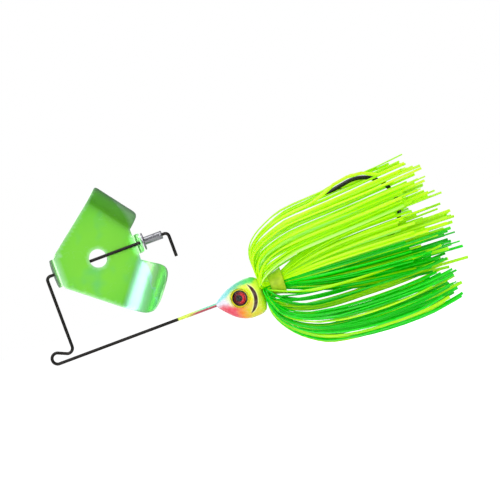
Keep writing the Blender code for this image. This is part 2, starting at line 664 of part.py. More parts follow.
def strand_knots(inner_layer, turn, rng):
    """(x, radius) knots of a strand's front half and rear half, each from the collar's middle to its tip."""
    start = INNER_LAYER_RADIUS if inner_layer else OUTER_LAYER_RADIUS
    upward = math.cos(turn) >= 0
    outer_shares = OUTER_FLARE_SHARES_UP if upward else OUTER_FLARE_SHARES_DOWN
    share = rng.uniform(*(INNER_FLARE_SHARES if inner_layer else outer_shares))
    way_out = (FLARE_RADIUS_UP if upward else FLARE_RADIUS_DOWN) * share - start
    bow = HEAD_REAR_X + (0 if inner_layer else OUTER_BOW_SETBACK)
    reach = FRONT_STRAND_REACH * rng.uniform(*FRONT_REACH_SHARES)
    grow = rng.uniform(*SWEEP_GROWTH_SHARES)
    middle = COLLAR_X + COLLAR_LENGTH / 2
    flare, swept = (FLARE_UP, SWEPT_UP) if upward else (FLARE_DOWN, SWEPT_DOWN)
    front = [(middle, start), (COLLAR_X + 0.0002, start), (bow + 0.0015, start + 0.0008)]
    front += [(bow + behind, start + out * way_out) for behind, out in flare]
    front += [(COLLAR_X + along * reach, start + grow * out * way_out) for along, out in swept]
    fan = REAR_FAN_RADIUS * rng.uniform(*(INNER_FAN_SHARES if inner_layer else OUTER_FAN_SHARES)) - start
    tail = REAR_STRAND_REACH * rng.uniform(*REAR_REACH_SHARES)
    rear = [(middle, start), (COLLAR_END_X, start + 0.05 * fan)]
    rear += [(COLLAR_END_X + along * tail, start + out * fan) for along, out in REAR_FAN]
    return front, rear


def strand_path(index, rng):
    """A strand's centre line from its front tip, through the collar, to its rear tip."""
    turn = 2 * math.pi * (index + 0.5) / (2 * STRAND_PAIRS)
    front, rear = strand_knots(index % 2 == 0, turn, rng)
    points = []
    for knots, flared, count in ((front, True, STRAND_POINTS), (rear, False, STRAND_POINTS // 2)):
        places = [Vector(knot) for knot in knots]
        half = []
        for step in range(count):
            knot = spline_point(places, (len(places) - 1) * step / (count - 1))
            half.append(spread_strand(knot.x, knot.y, turn, flared))
        points = half[::-1] if flared else points + half[1:]
    return points


def add_skirt(collection, chartreuse, green):
    """Every strand of the skirt, each its own piece through the collar."""
    rng = random.Random(SKIRT_SEED)
    for index in range(2 * STRAND_PAIRS):
        points = strand_path(index, rng)
        upper = points[0].z > ARM_Z
        material = chartreuse if upper else green
        add_wire(f"skirt_strand_{index + 1:02d}", points, STRAND_THICKNESS / 2, collection, material, resolution=0)


def build():
    """Clears the scene and builds the lure."""
    for thing in list(bpy.data.objects):
        bpy.data.objects.remove(thing)
    parts = make_collection(COLLECTION_NAME)
    cutters = make_collection("cutters")
    dark_steel = make_material("dark_steel", (0.05, 0.05, 0.055), 0.3, 1)
    black_nickel = make_material("black_nickel", (0.06, 0.06, 0.065), 0.25, 1)
    painted_lead = make_material("painted_lead", (0.75, 0.85, 0.05), 0.3, 0)
    printed_eye = make_material("printed_eye", (0.6, 0.02, 0.02), 0.4, 0)
    clear_resin = make_material("clear_resin", (0.9, 0.9, 0.9), 0.05, 0)
    green_metal = make_material("green_metal", (0.2, 0.7, 0.1), 0.3, 0.8)
    bright_metal = make_material("bright_metal", (0.8, 0.8, 0.82), 0.2, 1)
    lime_rubber = make_material("lime_rubber", (0.45, 0.7, 0.02), 0.5, 0)
    chartreuse = make_material("chartreuse_silicone", (0.6, 0.95, 0.02), 0.4, 0)
    green = make_material("green_silicone", (0.05, 0.8, 0.05), 0.4, 0)

    add_wire("wire_form", wire_path(), WIRE_RADIUS, parts, dark_steel)
    add_head(parts, cutters, painted_lead)
    add_eyes(parts, printed_eye, clear_resin)
    add_hook(parts, cutters, black_nickel)
    add_blade(parts, green_metal)
    add_rivet(parts, bright_metal)
    add_collar(parts, lime_rubber)
    add_skirt(parts, chartreuse, green)


build()
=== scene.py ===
"""Looks of a buzzbait: a wire-armed surface lure with a spinning blade, a painted head and a strand skirt.

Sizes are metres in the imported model's frame: +X runs from the line tie to the hook, +Z to the blade and
+Y to the far side.
"""

import logging
import math
import random
from collections.abc import Sequence
from dataclasses import dataclass
from enum import Enum

import bmesh
import bpy
from mathutils import Matrix, Vector


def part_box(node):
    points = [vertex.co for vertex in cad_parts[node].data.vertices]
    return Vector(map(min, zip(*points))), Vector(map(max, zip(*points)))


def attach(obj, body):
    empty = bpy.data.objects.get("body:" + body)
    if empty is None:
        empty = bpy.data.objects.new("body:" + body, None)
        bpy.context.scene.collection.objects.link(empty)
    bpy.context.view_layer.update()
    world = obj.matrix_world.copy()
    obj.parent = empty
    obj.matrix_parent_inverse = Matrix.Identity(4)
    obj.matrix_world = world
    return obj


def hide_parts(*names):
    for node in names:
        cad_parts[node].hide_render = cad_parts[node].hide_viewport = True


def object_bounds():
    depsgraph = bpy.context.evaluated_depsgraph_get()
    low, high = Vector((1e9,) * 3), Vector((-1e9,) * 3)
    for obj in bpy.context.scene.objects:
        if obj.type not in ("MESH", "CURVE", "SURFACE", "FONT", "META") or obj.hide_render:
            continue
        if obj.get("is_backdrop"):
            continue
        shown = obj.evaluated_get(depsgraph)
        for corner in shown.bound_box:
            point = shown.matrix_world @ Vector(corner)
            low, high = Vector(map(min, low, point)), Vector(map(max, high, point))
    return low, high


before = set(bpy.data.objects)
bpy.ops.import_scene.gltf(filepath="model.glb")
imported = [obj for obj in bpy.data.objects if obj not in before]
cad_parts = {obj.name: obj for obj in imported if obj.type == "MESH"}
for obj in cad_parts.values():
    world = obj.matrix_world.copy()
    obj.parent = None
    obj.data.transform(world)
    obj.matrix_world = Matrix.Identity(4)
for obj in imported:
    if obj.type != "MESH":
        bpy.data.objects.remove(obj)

LOG = logging.getLogger("buzzbait")
FINE = 1e-6
MM = 0.001
BLADE_CENTRE_X = 20.40 * MM
VIEW_CENTRE = Vector((61.1 * MM, 0, 9.6 * MM))

Colour = tuple[float, float, float]
Socket = bpy.types.NodeSocket


class Body(Enum):
    """The moving bodies that pieces ride on."""

    FRAME = "frame"
    RIVET = "rivet"
    BLADE = "blade"


class Side(Enum):
    """The two sides of the head, by the sign of Y."""

    NEAR = -1
    FAR = 1

    @property
    def label(self) -> str:
        """The side's name as the CAD nodes spell it."""
        return self.name.lower()


# ---------------------------------------------------------------- small sums


def smooth_step(value: float) -> float:
    """0 below 0, 1 above 1, and a smooth rise between."""
    value = min(max(value, 0.0), 1.0)
    return value * value * (3 - 2 * value)


def spline_point(knots: Sequence[Vector], place: float) -> Vector:
    """Finds a point on the smooth curve through some knots.

    Args:
        knots: The knots, in any number of dimensions.
        place: Where to look, counted in knots.

    Returns:
        The point.
    """
    index = min(int(place), len(knots) - 2)
    t = place - index
    before = knots[max(index - 1, 0)]
    here = knots[index]
    after = knots[index + 1]
    beyond = knots[min(index + 2, len(knots) - 1)]
    bend = (2 * before - 5 * here + 4 * after - beyond) * t * t
    twist = (3 * here - before - 3 * after + beyond) * t * t * t
    return 0.5 * (2 * here + (after - before) * t + bend + twist)


def smooth_path(knots: Sequence[Vector], count: int) -> list[Vector]:
    """Resamples knots into `count` points on their smooth curve."""
    last = len(knots) - 1
    return [spline_point(knots, last * step / (count - 1)) for step in range(count)]


def arc(centre: tuple[float, float], radius: float, start: float, sweep: float, steps: int) -> list[Vector]:
    """Points on an arc in the XZ plane.

    Args:
        centre: X and Z of the arc's centre.
        radius: The arc's radius.
        start: The first angle, in radians.
        sweep: How far the arc turns, in radians.
        steps: How many steps it is cut into.

    Returns:
        The points, both ends included.
    """
    angles = [start + sweep * step / steps for step in range(steps + 1)]
    return [Vector((centre[0] + radius * math.cos(a), 0, centre[1] + radius * math.sin(a))) for a in angles]


def circle_through(first: Vector, second: Vector, third: Vector) -> tuple[Vector, float]:
    """Finds the circle through three flat points.

    Args:
        first: A point.
        second: A second point.
        third: A third point, not in line with the others.

    Returns:
        The circle's centre and radius.
    """
    a, b = second - first, third - first
    cross = 2 * (a.x * b.y - a.y * b.x)
    first_square, second_square = a.length_squared, b.length_squared
    across = Vector((b.y * first_square - a.y * second_square, a.x * second_square - b.x * first_square))
    centre = first + across / cross
    return centre, (centre - first).length


# ---------------------------------------------------------------- mesh making


def section_frame(here: Vector, heading: Vector, wide: Vector) -> Matrix:
    """Builds the matrix that stands a flat section on a path.

    Args:
        here: Where the section stands.
        heading: The path's direction there.
        wide: Roughly where the section's X should point.

    Returns:
        The section's matrix, whose Z is the heading.
    """
    across = (wide - heading * wide.dot(heading)).normalized()
    turn = Matrix((across, heading.cross(across), heading)).transposed()
    return Matrix.Translation(here) @ turn.to_4x4()


def headings_along(points: Sequence[Vector]) -> list[Vector]:
    """The path's direction at each of its points."""
    last = len(points) - 1
    return [(points[min(i + 1, last)] - points[max(i - 1, 0)]).normalized() for i in range(last + 1)]


def sweep_section(
    work: bmesh.types.BMesh,
    points: Sequence[Vector],
    sizes: Sequence[tuple[float, float]],
    wides: Sequence[Vector],
    sides: int,
    roundness: float = 1.0,
) -> list[list[bmesh.types.BMVert]]:
    """Extrudes a round or nearly flat section along a path and caps both ends.

    Args:
        work: The mesh being built.
        points: The path.
        sizes: Half width and half thickness at each point.
        wides: The direction of the section's width at each point.
        sides: How many corners the section has.
        roundness: 1 for an ellipse, less for a fuller, flatter section.

    Returns:
        The corners made at each point, in order.
    """
    headings = headings_along(points)
    frames = [section_frame(p, h, w) for p, h, w in zip(points, headings, wides)]
    made = bmesh.ops.create_circle(work, cap_ends=True, segments=sides, radius=1.0)
    ring = list(made["verts"])
    corners = []
    for vertex in ring:
        flat = Vector((vertex.co.x, vertex.co.y))
        fuller = Vector([math.copysign(abs(share) ** roundness, share) for share in flat])
        corners.append(fuller)
    rings = [ring]
    faces = list({face for vertex in ring for face in vertex.link_faces})
    for index, (matrix, (wide, thick)) in enumerate(zip(frames, sizes)):
        if index:
            grown = bmesh.ops.extrude_face_region(work, geom=faces)["geom"]
            fresh = [item for item in grown if isinstance(item, bmesh.types.BMVert)]
            old_faces = faces
            faces = [item for item in grown if isinstance(item, bmesh.types.BMFace)]
            if index > 1:
                bmesh.ops.delete(work, geom=old_faces, context="FACES_ONLY")
            follow = {}
            for vertex in fresh:
                for edge in vertex.link_edges:
                    other = edge.other_vert(vertex)
                    if other in rings[-1]:
                        follow[other] = vertex
            rings.append([follow[vertex] for vertex in rings[-1]])
        for vertex, corner in zip(rings[-1], corners):
            vertex.co = matrix @ Vector((corner.x * wide, corner.y * thick, 0))
    return rings


def keep_piece(
    work: bmesh.types.BMesh,
    name: str,
    body: Body,
    material: bpy.types.Material,
    nodes: Sequence[str] = (),
    smooth_angle: float = 40.0,
) -> bpy.types.Object:
    """Turns a finished bmesh into a piece at the origin that rides on a body.

    Args:
        work: The mesh, which is freed.
        name: The piece's name.
        body: The body that it rides on.
        material: Its finish.
        nodes: The CAD nodes that it stands for.
        smooth_angle: Edges that turn further than this many degrees stay sharp.

    Returns:
        The new object.
    """
    mesh = bpy.data.meshes.new(name)
    limit = math.radians(smooth_angle)
    for face in work.faces:
        face.smooth = True
    for edge in work.edges:
        edge.smooth = len(edge.link_faces) != 2 or edge.calc_face_angle(0.0) < limit
    work.to_mesh(mesh)
    work.free()
    piece = bpy.data.objects.new(name, mesh)
    bpy.context.scene.collection.objects.link(piece)
    mesh.materials.append(material)
    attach(piece, body.value)
    if nodes:
        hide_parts(*nodes)
    LOG.info("%s: %d faces, rides on %s", name, len(mesh.polygons), body.value)
    return piece


def turned_solid(
    work: bmesh.types.BMesh, profile: Sequence[tuple[float, float]], steps: int, place: Matrix
) -> None:
    """Spins a profile about its own Z axis and puts it in place.

    Args:
        work: The mesh being built.
        profile: (radius, height) points of an outline that is closed, or that starts and ends on the axis.
        steps: How many steps the spin has.
        place: Where the turned solid goes.
    """
    corners = [work.verts.new((radius, 0, height)) for radius, height in profile]
    edges = [work.edges.new(pair) for pair in zip(corners, corners[1:])]
    if profile[0][0] > FINE or profile[-1][0] > FINE:
        edges.append(work.edges.new((corners[-1], corners[0])))
    bmesh.ops.spin(
        work, geom=corners + edges, cent=(0, 0, 0), axis=(0, 0, 1), angle=2 * math.pi, steps=steps,
        use_merge=True,
    )
    bmesh.ops.remove_doubles(work, verts=work.verts, dist=FINE)
    bmesh.ops.recalc_face_normals(work, faces=work.faces)
    bmesh.ops.transform(work, matrix=place, verts=work.verts)


# ---------------------------------------------------------------- shader making


class Sketch:
    """Adds and links nodes in one tree, left to right."""

    def __init__(self, tree: bpy.types.NodeTree) -> None:
        """Keeps the tree that the nodes go in."""
        self.tree = tree
        self.count = 0

    def add(self, kind: str, **settings: object) -> bpy.types.Node:
        """Adds a node and sets its options."""
        node = self.tree.nodes.new(kind)
        self.count += 1
        node.location = (180 * self.count, 0)
        for key, value in settings.items():
            setattr(node, key, value)
        return node

    def feed(self, socket: Socket, value: object) -> None:
        """Links a socket to another, or sets its own value."""
        if isinstance(value, bpy.types.NodeSocket):
            self.tree.links.new(value, socket)
        elif socket.type == "RGBA" and len(value) == 3:
            socket.default_value = (*value, 1)
        else:
            socket.default_value = value

    def math(self, operation: str, first: object, second: object = 0.0, third: object = 0.0) -> Socket:
        """A Math node's result."""
        node = self.add("ShaderNodeMath", operation=operation)
        for socket, value in zip(node.inputs, (first, second, third)):
            self.feed(socket, value)
        return node.outputs[0]

    def blend(self, share: object, first: object, second: object, kind: str = "MIX") -> Socket:
        """Mixes two colours, the second by this share."""
        node = self.add("ShaderNodeMix", data_type="RGBA", blend_type=kind, clamp_factor=True)
        self.feed(node.inputs["Factor"], share)
        self.feed(node.inputs[6], first)
        self.feed(node.inputs[7], second)
        return node.outputs[2]

    def ease(self, value: object, start: object, end: object, low: float = 0.0, high: float = 1.0) -> Socket:
        """A smooth change from low at start to high at end."""
        node = self.add("ShaderNodeMapRange", interpolation_type="SMOOTHSTEP")
        names = ("Value", "From Min", "From Max", "To Min", "To Max")
        for name, given in zip(names, (value, start, end, low, high)):
            self.feed(node.inputs[name], given)
        return node.outputs[0]

    def ramp(self, value: object, stops: Sequence[tuple[float, Colour]]) -> Socket:
        """A colour ramp's colour."""
        node = self.add("ShaderNodeValToRGB")
        elements = node.color_ramp.elements
        while len(elements) < len(stops):
            elements.new(0.5)
        for element, (place, colour) in zip(elements, stops):
            element.position = place
            element.color = (*colour, 1)
        self.feed(node.inputs[0], value)
        return node.outputs[0]

    def noise(self, vector: Socket, scale: object, detail: float = 3.0, roughness: float = 0.5) -> Socket:
        """A noise pattern's value, about 0.5."""
        node = self.add("ShaderNodeTexNoise")
        names = ("Vector", "Scale", "Detail", "Roughness")
        for name, given in zip(names, (vector, scale, detail, roughness)):
            self.feed(node.inputs[name], given)
        return node.outputs["Fac"]

    def placed(self, location: Sequence[float] = (0, 0, 0), turn: Sequence[float] = (0, 0, 0),
               scale: Sequence[float] = (1, 1, 1)) -> Socket:
        """Object coordinates moved, turned and scaled by a Mapping node."""
        coordinates = self.add("ShaderNodeTexCoord")
        mapping = self.add("ShaderNodeMapping", vector_type="POINT")
        self.feed(mapping.inputs["Vector"], coordinates.outputs["Object"])
        mapping.inputs["Location"].default_value = location
        mapping.inputs["Rotation"].default_value = turn
        mapping.inputs["Scale"].default_value = scale
        return mapping.outputs[0]

    def parts(self, vector: Socket) -> tuple[Socket, Socket, Socket]:
        """A vector's three parts."""
        node = self.add("ShaderNodeSeparateXYZ")
        self.feed(node.inputs[0], vector)
        return node.outputs[0], node.outputs[1], node.outputs[2]

    def use(self, group: bpy.types.NodeTree, **values: object) -> bpy.types.Node:
        """Places a node group with its own values; an underscore in a name stands for a space."""
        node = self.add("ShaderNodeGroup", node_tree=group)
        for name, value in values.items():
            self.feed(node.inputs[name.replace("_", " ")], value)
        return node

    def bump(self, height: Socket, distance: float, strength: float = 1.0) -> Socket:
        """A bumped normal."""
        node = self.add("ShaderNodeBump")
        node.inputs["Distance"].default_value = distance
        node.inputs["Strength"].default_value = strength
        self.feed(node.inputs["Height"], height)
        return node.outputs[0]


def new_group(
    name: str, inputs: dict[str, tuple[str, object]], outputs: dict[str, str]
) -> tuple[Sketch, dict, object]:
    """Starts a shader node group.

    Args:
        name: The group's name.
        inputs: Each input's socket kind and its default.
        outputs: Each output's socket kind.

    Returns:
        The group's sketch, its input sockets by name and its output node.
    """
    tree = bpy.data.node_groups.new(name, "ShaderNodeTree")
    for label, (kind, default) in inputs.items():
        socket = tree.interface.new_socket(label, in_out="INPUT", socket_type=kind)
        if default is not None:
            socket.default_value = default
    for label, kind in outputs.items():
        tree.interface.new_socket(label, in_out="OUTPUT", socket_type=kind)
    sketch = Sketch(tree)
    start = sketch.add("NodeGroupInput")
    end = sketch.add("NodeGroupOutput")
    return sketch, {label: start.outputs[label] for label in inputs}, end


FLOAT, COLOUR, VECTOR = "NodeSocketFloat", "NodeSocketColor", "NodeSocketVector"


@dataclass(frozen=True)
class Effects:
    """The effects that several finishes share, each built once."""

    clouding: bpy.types.NodeTree
    grain: bpy.types.NodeTree
    scratches: bpy.types.NodeTree

    @classmethod
    def build(cls) -> "Effects":
        """Builds every shared effect."""
        return cls(cls._clouding(), cls._grain(), cls._scratches())

    @staticmethod
    def _clouding() -> bpy.types.NodeTree:
        """Soft patches of a second colour, as in hand-mixed paint and moulded rubber."""
        sketch, given, end = new_group(
            "clouding",
            {"Vector": (VECTOR, None), "Colour": (COLOUR, None), "Patch colour": (COLOUR, None),
             "Scale": (FLOAT, 300.0), "Amount": (FLOAT, 0.3)},
            {"Colour": COLOUR, "Mask": FLOAT},
        )
        pattern = sketch.noise(given["Vector"], given["Scale"], 2.0)
        mask = sketch.ease(pattern, 0.38, 0.66)
        share = sketch.math("MULTIPLY", mask, given["Amount"])
        sketch.feed(end.inputs["Colour"], sketch.blend(share, given["Colour"], given["Patch colour"]))
        sketch.feed(end.inputs["Mask"], mask)
        return sketch.tree

    @staticmethod
    def _grain() -> bpy.types.NodeTree:
        """A fine uneven skin: a roughness that wanders and a height for a bump."""
        sketch, given, end = new_group(
            "grain",
            {"Vector": (VECTOR, None), "Scale": (FLOAT, 4000.0), "Smoothest": (FLOAT, 0.2),
             "Roughest": (FLOAT, 0.4)},
            {"Roughness": FLOAT, "Height": FLOAT},
        )
        fine = sketch.noise(given["Vector"], given["Scale"], 4.0, 0.6)
        wide_scale = sketch.math("MULTIPLY", given["Scale"], 0.13)
        wide = sketch.noise(given["Vector"], wide_scale, 2.0)
        both = sketch.math("MULTIPLY_ADD", fine, 0.4, sketch.math("MULTIPLY", wide, 0.6))
        share = sketch.ease(both, 0.3, 0.7)
        spread = sketch.math("SUBTRACT", given["Roughest"], given["Smoothest"])
        sketch.feed(end.inputs["Roughness"], sketch.math("MULTIPLY_ADD", share, spread, given["Smoothest"]))
        sketch.feed(end.inputs["Height"], fine)
        return sketch.tree

    @staticmethod
    def _scratches() -> bpy.types.NodeTree:
        """Hairline scratches that run along a stretched direction."""
        sketch, given, end = new_group(
            "scratches",
            {"Vector": (VECTOR, None), "Scale": (FLOAT, 900.0), "Width": (FLOAT, 0.03)},
            {"Mask": FLOAT},
        )
        pattern = sketch.noise(given["Vector"], given["Scale"], 2.0, 0.4)
        away = sketch.math("ABSOLUTE", sketch.math("SUBTRACT", pattern, 0.5))
        line = sketch.ease(away, given["Width"], 0.0)
        gaps = sketch.noise(given["Vector"], sketch.math("MULTIPLY", given["Scale"], 0.31), 1.0)
        broken = sketch.ease(gaps, 0.45, 0.6)
        sketch.feed(end.inputs["Mask"], sketch.math("MULTIPLY", line, broken))
        return sketch.tree


def new_finish(name: str, **constants: object) -> tuple[Sketch, bpy.types.Node]:
    """Starts a material.

    Args:
        name: The material's name.
        constants: Socket values of its shader that are the same all over, with underscores for spaces.

    Returns:
        The material's sketch and its Principled shader.
    """
    material = bpy.data.materials.new(name)
    material.use_nodes = True
    shader = material.node_tree.nodes["Principled BSDF"]
    for label, value in constants.items():
        shader.inputs[label.replace("_", " ")].default_value = value
    return Sketch(material.node_tree), shader


def material_of(sketch: Sketch) -> bpy.types.Material:
    """The material whose node tree this sketch holds."""
    return next(material for material in bpy.data.materials if material.node_tree == sketch.tree)


@dataclass(frozen=True)
class SpringWire:
    """Dark drawn spring wire whose last stretch before the head is sprayed with the head's paint."""

    steel: Colour = (0.014, 0.013, 0.012)
    worn_steel: Colour = (0.060, 0.055, 0.050)
    top_paint: Colour = (0.10, 0.62, 0.38)
    first_paint: Colour = (0.62, 0.80, 0.02)
    under_paint: Colour = (0.42, 0.03, 0.06)
    paint_fade: float = 0.35 * MM
    paint_ragged: float = 0.6 * MM

    def build(
        self, effects: Effects, paint_start: float, paint_end: float, axis_z: float
    ) -> bpy.types.Material:
        """Builds the finish.

        Args:
            effects: The shared effects.
            paint_start: Where the paint starts along X.
            paint_end: Where the head starts along X.
            axis_z: The arm's height.

        Returns:
            The material.
        """
        sketch, shader = new_finish("spring_wire", Specular_IOR_Level=0.4, Coat_Roughness=0.15)
        place = sketch.placed()
        along, _, height = sketch.parts(place)
        edge = sketch.math("MULTIPLY_ADD", sketch.noise(place, 2500.0), 2 * self.paint_ragged, along)
        first = paint_start + self.paint_ragged
        painted = sketch.ease(edge, first, first + self.paint_fade)
        painted = sketch.math("MULTIPLY", painted, sketch.ease(height, axis_z + 5 * MM, axis_z + 3 * MM))
        low = sketch.ease(height, axis_z + 0.25 * MM, axis_z + 0.04 * MM)
        low = sketch.math("MULTIPLY", low, sketch.ease(height, axis_z - 10 * MM, axis_z - 1 * MM))
        tint = sketch.ramp(
            sketch.ease(along, paint_start, paint_end),
            [(0.0, self.first_paint), (0.3, self.first_paint), (0.75, self.top_paint)],
        )
        low = sketch.math("MULTIPLY", low, sketch.ease(along, paint_start + 2 * MM, paint_start + 6 * MM))
        paint = sketch.blend(low, tint, self.under_paint)
        drawn_out = sketch.placed(scale=(0.15, 1, 0.6))
        drawn = sketch.use(effects.scratches, Vector=drawn_out, Scale=5200.0, Width=0.05)
        bare = sketch.blend(drawn.outputs["Mask"], self.steel, self.worn_steel)
        grain = sketch.use(effects.grain, Vector=place, Scale=6000.0, Smoothest=0.24, Roughest=0.42)
        sketch.feed(shader.inputs["Base Color"], sketch.blend(painted, bare, paint))
        covered = sketch.math("MULTIPLY", painted, 0.9)
        sketch.feed(shader.inputs["Metallic"], sketch.math("SUBTRACT", 0.9, covered))
        sketch.feed(shader.inputs["Roughness"], grain.outputs["Roughness"])
        sketch.feed(shader.inputs["Coat Weight"], sketch.math("MULTIPLY", painted, 0.8))
        sketch.feed(shader.inputs["Normal"], sketch.bump(drawn.outputs["Mask"], 0.00001, 0.6))
        return material_of(sketch)


@dataclass(frozen=True)
class PlatedMetal:
    """Plated or polished metal with fine grain and hairline scratches."""

    name: str
    base: Colour
    scratched: Colour
    smoothest: float
    roughest: float
    stretch: tuple[float, float, float] = (0.3, 1, 1)

    def build(self, effects: Effects) -> bpy.types.Material:
        """Builds the finish from the shared effects."""
        sketch, shader = new_finish(self.name, Metallic=1.0, Specular_IOR_Level=0.5)
        place = sketch.placed()
        stretched = sketch.placed(scale=self.stretch)
        scratches = sketch.use(effects.scratches, Vector=stretched, Scale=2600.0, Width=0.035)
        grain = sketch.use(
            effects.grain, Vector=place, Scale=3000.0, Smoothest=self.smoothest, Roughest=self.roughest
        )
        clouds = sketch.use(
            effects.clouding, Vector=place, Colour=self.base, Patch_colour=tuple(0.8 * c for c in self.base),
            Scale=420.0, Amount=0.6,
        )
        colour = sketch.blend(scratches.outputs["Mask"], clouds.outputs["Colour"], self.scratched)
        sketch.feed(shader.inputs["Base Color"], colour)
        sketch.feed(shader.inputs["Roughness"], grain.outputs["Roughness"])
        sketch.feed(shader.inputs["Normal"], sketch.bump(scratches.outputs["Mask"], 0.000012, 0.5))
        return material_of(sketch)


@dataclass(frozen=True)
class HeadPaint:
    """Airbrushed head: cyan to green back, white nose, pink belly, yellow cheek and a dark gill slash with a
    painted highlight along its edges.
    """

    cheek: Colour = (0.66, 0.84, 0.01)
    nose_white: Colour = (0.80, 0.76, 0.86)
    back_cyan: Colour = (0.28, 0.72, 0.74)
    back_teal: Colour = (0.06, 0.52, 0.34)
    back_green: Colour = (0.06, 0.62, 0.09)
    belly_pink: Colour = (0.80, 0.07, 0.12)
    belly_orange: Colour = (0.88, 0.26, 0.015)
    eye_orange: Colour = (0.86, 0.42, 0.015)
    gill: Colour = (0.045, 0.004, 0.006)
    gill_rim_highlight: Colour = (0.86, 0.90, 0.35)
    dust: Colour = (0.95, 0.95, 0.85)
    gill_half_width: float = 0.50 * MM
    overspray: float = 2.2 * MM

    def build(self, effects: Effects, nose_x: float, length: float, axis_z: float,
              gill_points: Sequence[tuple[float, float]]) -> bpy.types.Material:
        """Builds the finish.

        Args:
            effects: The shared effects.
            nose_x: Where the head starts.
            length: The head's length.
            axis_z: The arm's height.
            gill_points: X and Z of the gill slash's top, middle and foot.

        Returns:
            The material.
        """
        sketch, shader = new_finish(
            "head_paint", Specular_IOR_Level=0.2, Coat_Weight=0.35, Coat_Roughness=0.04, Coat_IOR=1.5
        )
        place = sketch.placed(location=(-nose_x, 0, -axis_z))
        along, _, height = sketch.parts(place)
        wander = sketch.math("SUBTRACT", sketch.noise(place, 420.0, 2.0), 0.5)
        drift = sketch.math("MULTIPLY", wander, self.overspray)
        share = sketch.math("DIVIDE", sketch.math("ADD", along, drift), length)
        level = sketch.math("ADD", height, drift)
        front = sketch.ease(share, 0.42, 0.18)
        colour = sketch.blend(front, self.cheek, self.nose_white)
        warm = sketch.math("MULTIPLY", sketch.ease(share, 0.28, 0.48), sketch.ease(share, 0.92, 0.66))
        warm = sketch.math("MULTIPLY", warm, sketch.ease(level, 0.2 * MM, -3.4 * MM))
        colour = sketch.blend(sketch.math("MULTIPLY", warm, 0.8), colour, self.eye_orange)
        belly_tint = sketch.ramp(
            share,
            [(0.05, self.belly_pink), (0.30, self.belly_pink), (0.46, self.belly_orange), (0.70, self.cheek)],
        )
        belly_line = sketch.ease(share, 0.0, 0.75, -0.3 * MM, -2.6 * MM)
        belly = sketch.ease(sketch.math("SUBTRACT", level, belly_line), 0.4 * MM, -1.6 * MM)
        belly = sketch.math("MULTIPLY", belly, sketch.ease(share, 0.80, 0.58))
        colour = sketch.blend(belly, colour, belly_tint)
        back_tint = sketch.ramp(
            share,
            [(0.0, self.back_cyan), (0.22, self.back_cyan), (0.48, self.back_teal), (0.78, self.back_green)],
        )
        back_line = sketch.ease(share, 0.0, 0.6, 0.1 * MM, 2.2 * MM)
        back = sketch.ease(sketch.math("SUBTRACT", level, back_line), 0.0, 1.0 * MM)
        colour = sketch.blend(back, colour, back_tint)
        keeper = sketch.ease(along, length - 0.6 * MM, length + 0.2 * MM)
        colour = sketch.blend(keeper, colour, self.cheek)
        slash, rim = self._gill(sketch, gill_points)
        # painted highlight along the gill slash's edges, where a moulded groove would catch the light
        colour = sketch.blend(rim, colour, self.gill_rim_highlight)
        colour = sketch.blend(slash, colour, self.gill)
        clouds = sketch.use(
            effects.clouding, Vector=place, Colour=colour, Patch_colour=self.dust, Scale=900.0, Amount=0.07
        )
        grain = sketch.use(effects.grain, Vector=place, Scale=2500.0, Smoothest=0.22, Roughest=0.36)
        sketch.feed(shader.inputs["Base Color"], clouds.outputs["Colour"])
        sketch.feed(shader.inputs["Roughness"], grain.outputs["Roughness"])
        orange_peel = sketch.noise(place, 1400.0, 1.0)
        sketch.feed(shader.inputs["Normal"], sketch.bump(orange_peel, 0.00002, 0.5))
        return material_of(sketch)

    def _gill(self, sketch: Sketch, points: Sequence[tuple[float, float]]) -> tuple[Socket, Socket]:
        """Draws the gill slash.

        Args:
            sketch: The material's sketch.
            points: X and Z of the slash's top, middle and foot.

        Returns:
            The masks of the slash and of the painted highlight along its edges.
        """
        top, middle, foot = (Vector(point) for point in points)
        centre, radius = circle_through(top, middle, foot)
        x, _, z = sketch.parts(sketch.placed(location=(-centre.x, 0, -centre.y)))
        reach = sketch.math("SQRT", sketch.math("MULTIPLY_ADD", x, x, sketch.math("MULTIPLY", z, z)))
        away = sketch.math("ABSOLUTE", sketch.math("SUBTRACT", reach, radius))
        angle = sketch.math("ARCTAN2", z, x)
        first = math.atan2(foot.y - centre.y, foot.x - centre.x)
        last = math.atan2(top.y - centre.y, top.x - centre.x)
        middle_angle, half = (first + last) / 2, (last - first) / 2
        turned = sketch.math("ABSOLUTE", sketch.math("SUBTRACT", angle, middle_angle))
        off = sketch.math("DIVIDE", turned, half)
        taper = sketch.math("SUBTRACT", 1.0, sketch.math("POWER", sketch.math("MINIMUM", off, 1.0), 3.0))
        width = sketch.math("MULTIPLY", taper, self.gill_half_width)
        slash = sketch.ease(sketch.math("SUBTRACT", away, width), 0.06 * MM, -0.06 * MM)
        slash = sketch.math("MULTIPLY", slash, sketch.ease(off, 1.0, 0.96))
        # painted highlight: a pale band round the slash
        rim = sketch.ease(sketch.math("SUBTRACT", away, width), 0.45 * MM, 0.1 * MM)
        rim = sketch.math("MULTIPLY", rim, sketch.ease(off, 1.0, 0.8))
        return slash, sketch.math("MULTIPLY", rim, 0.7)


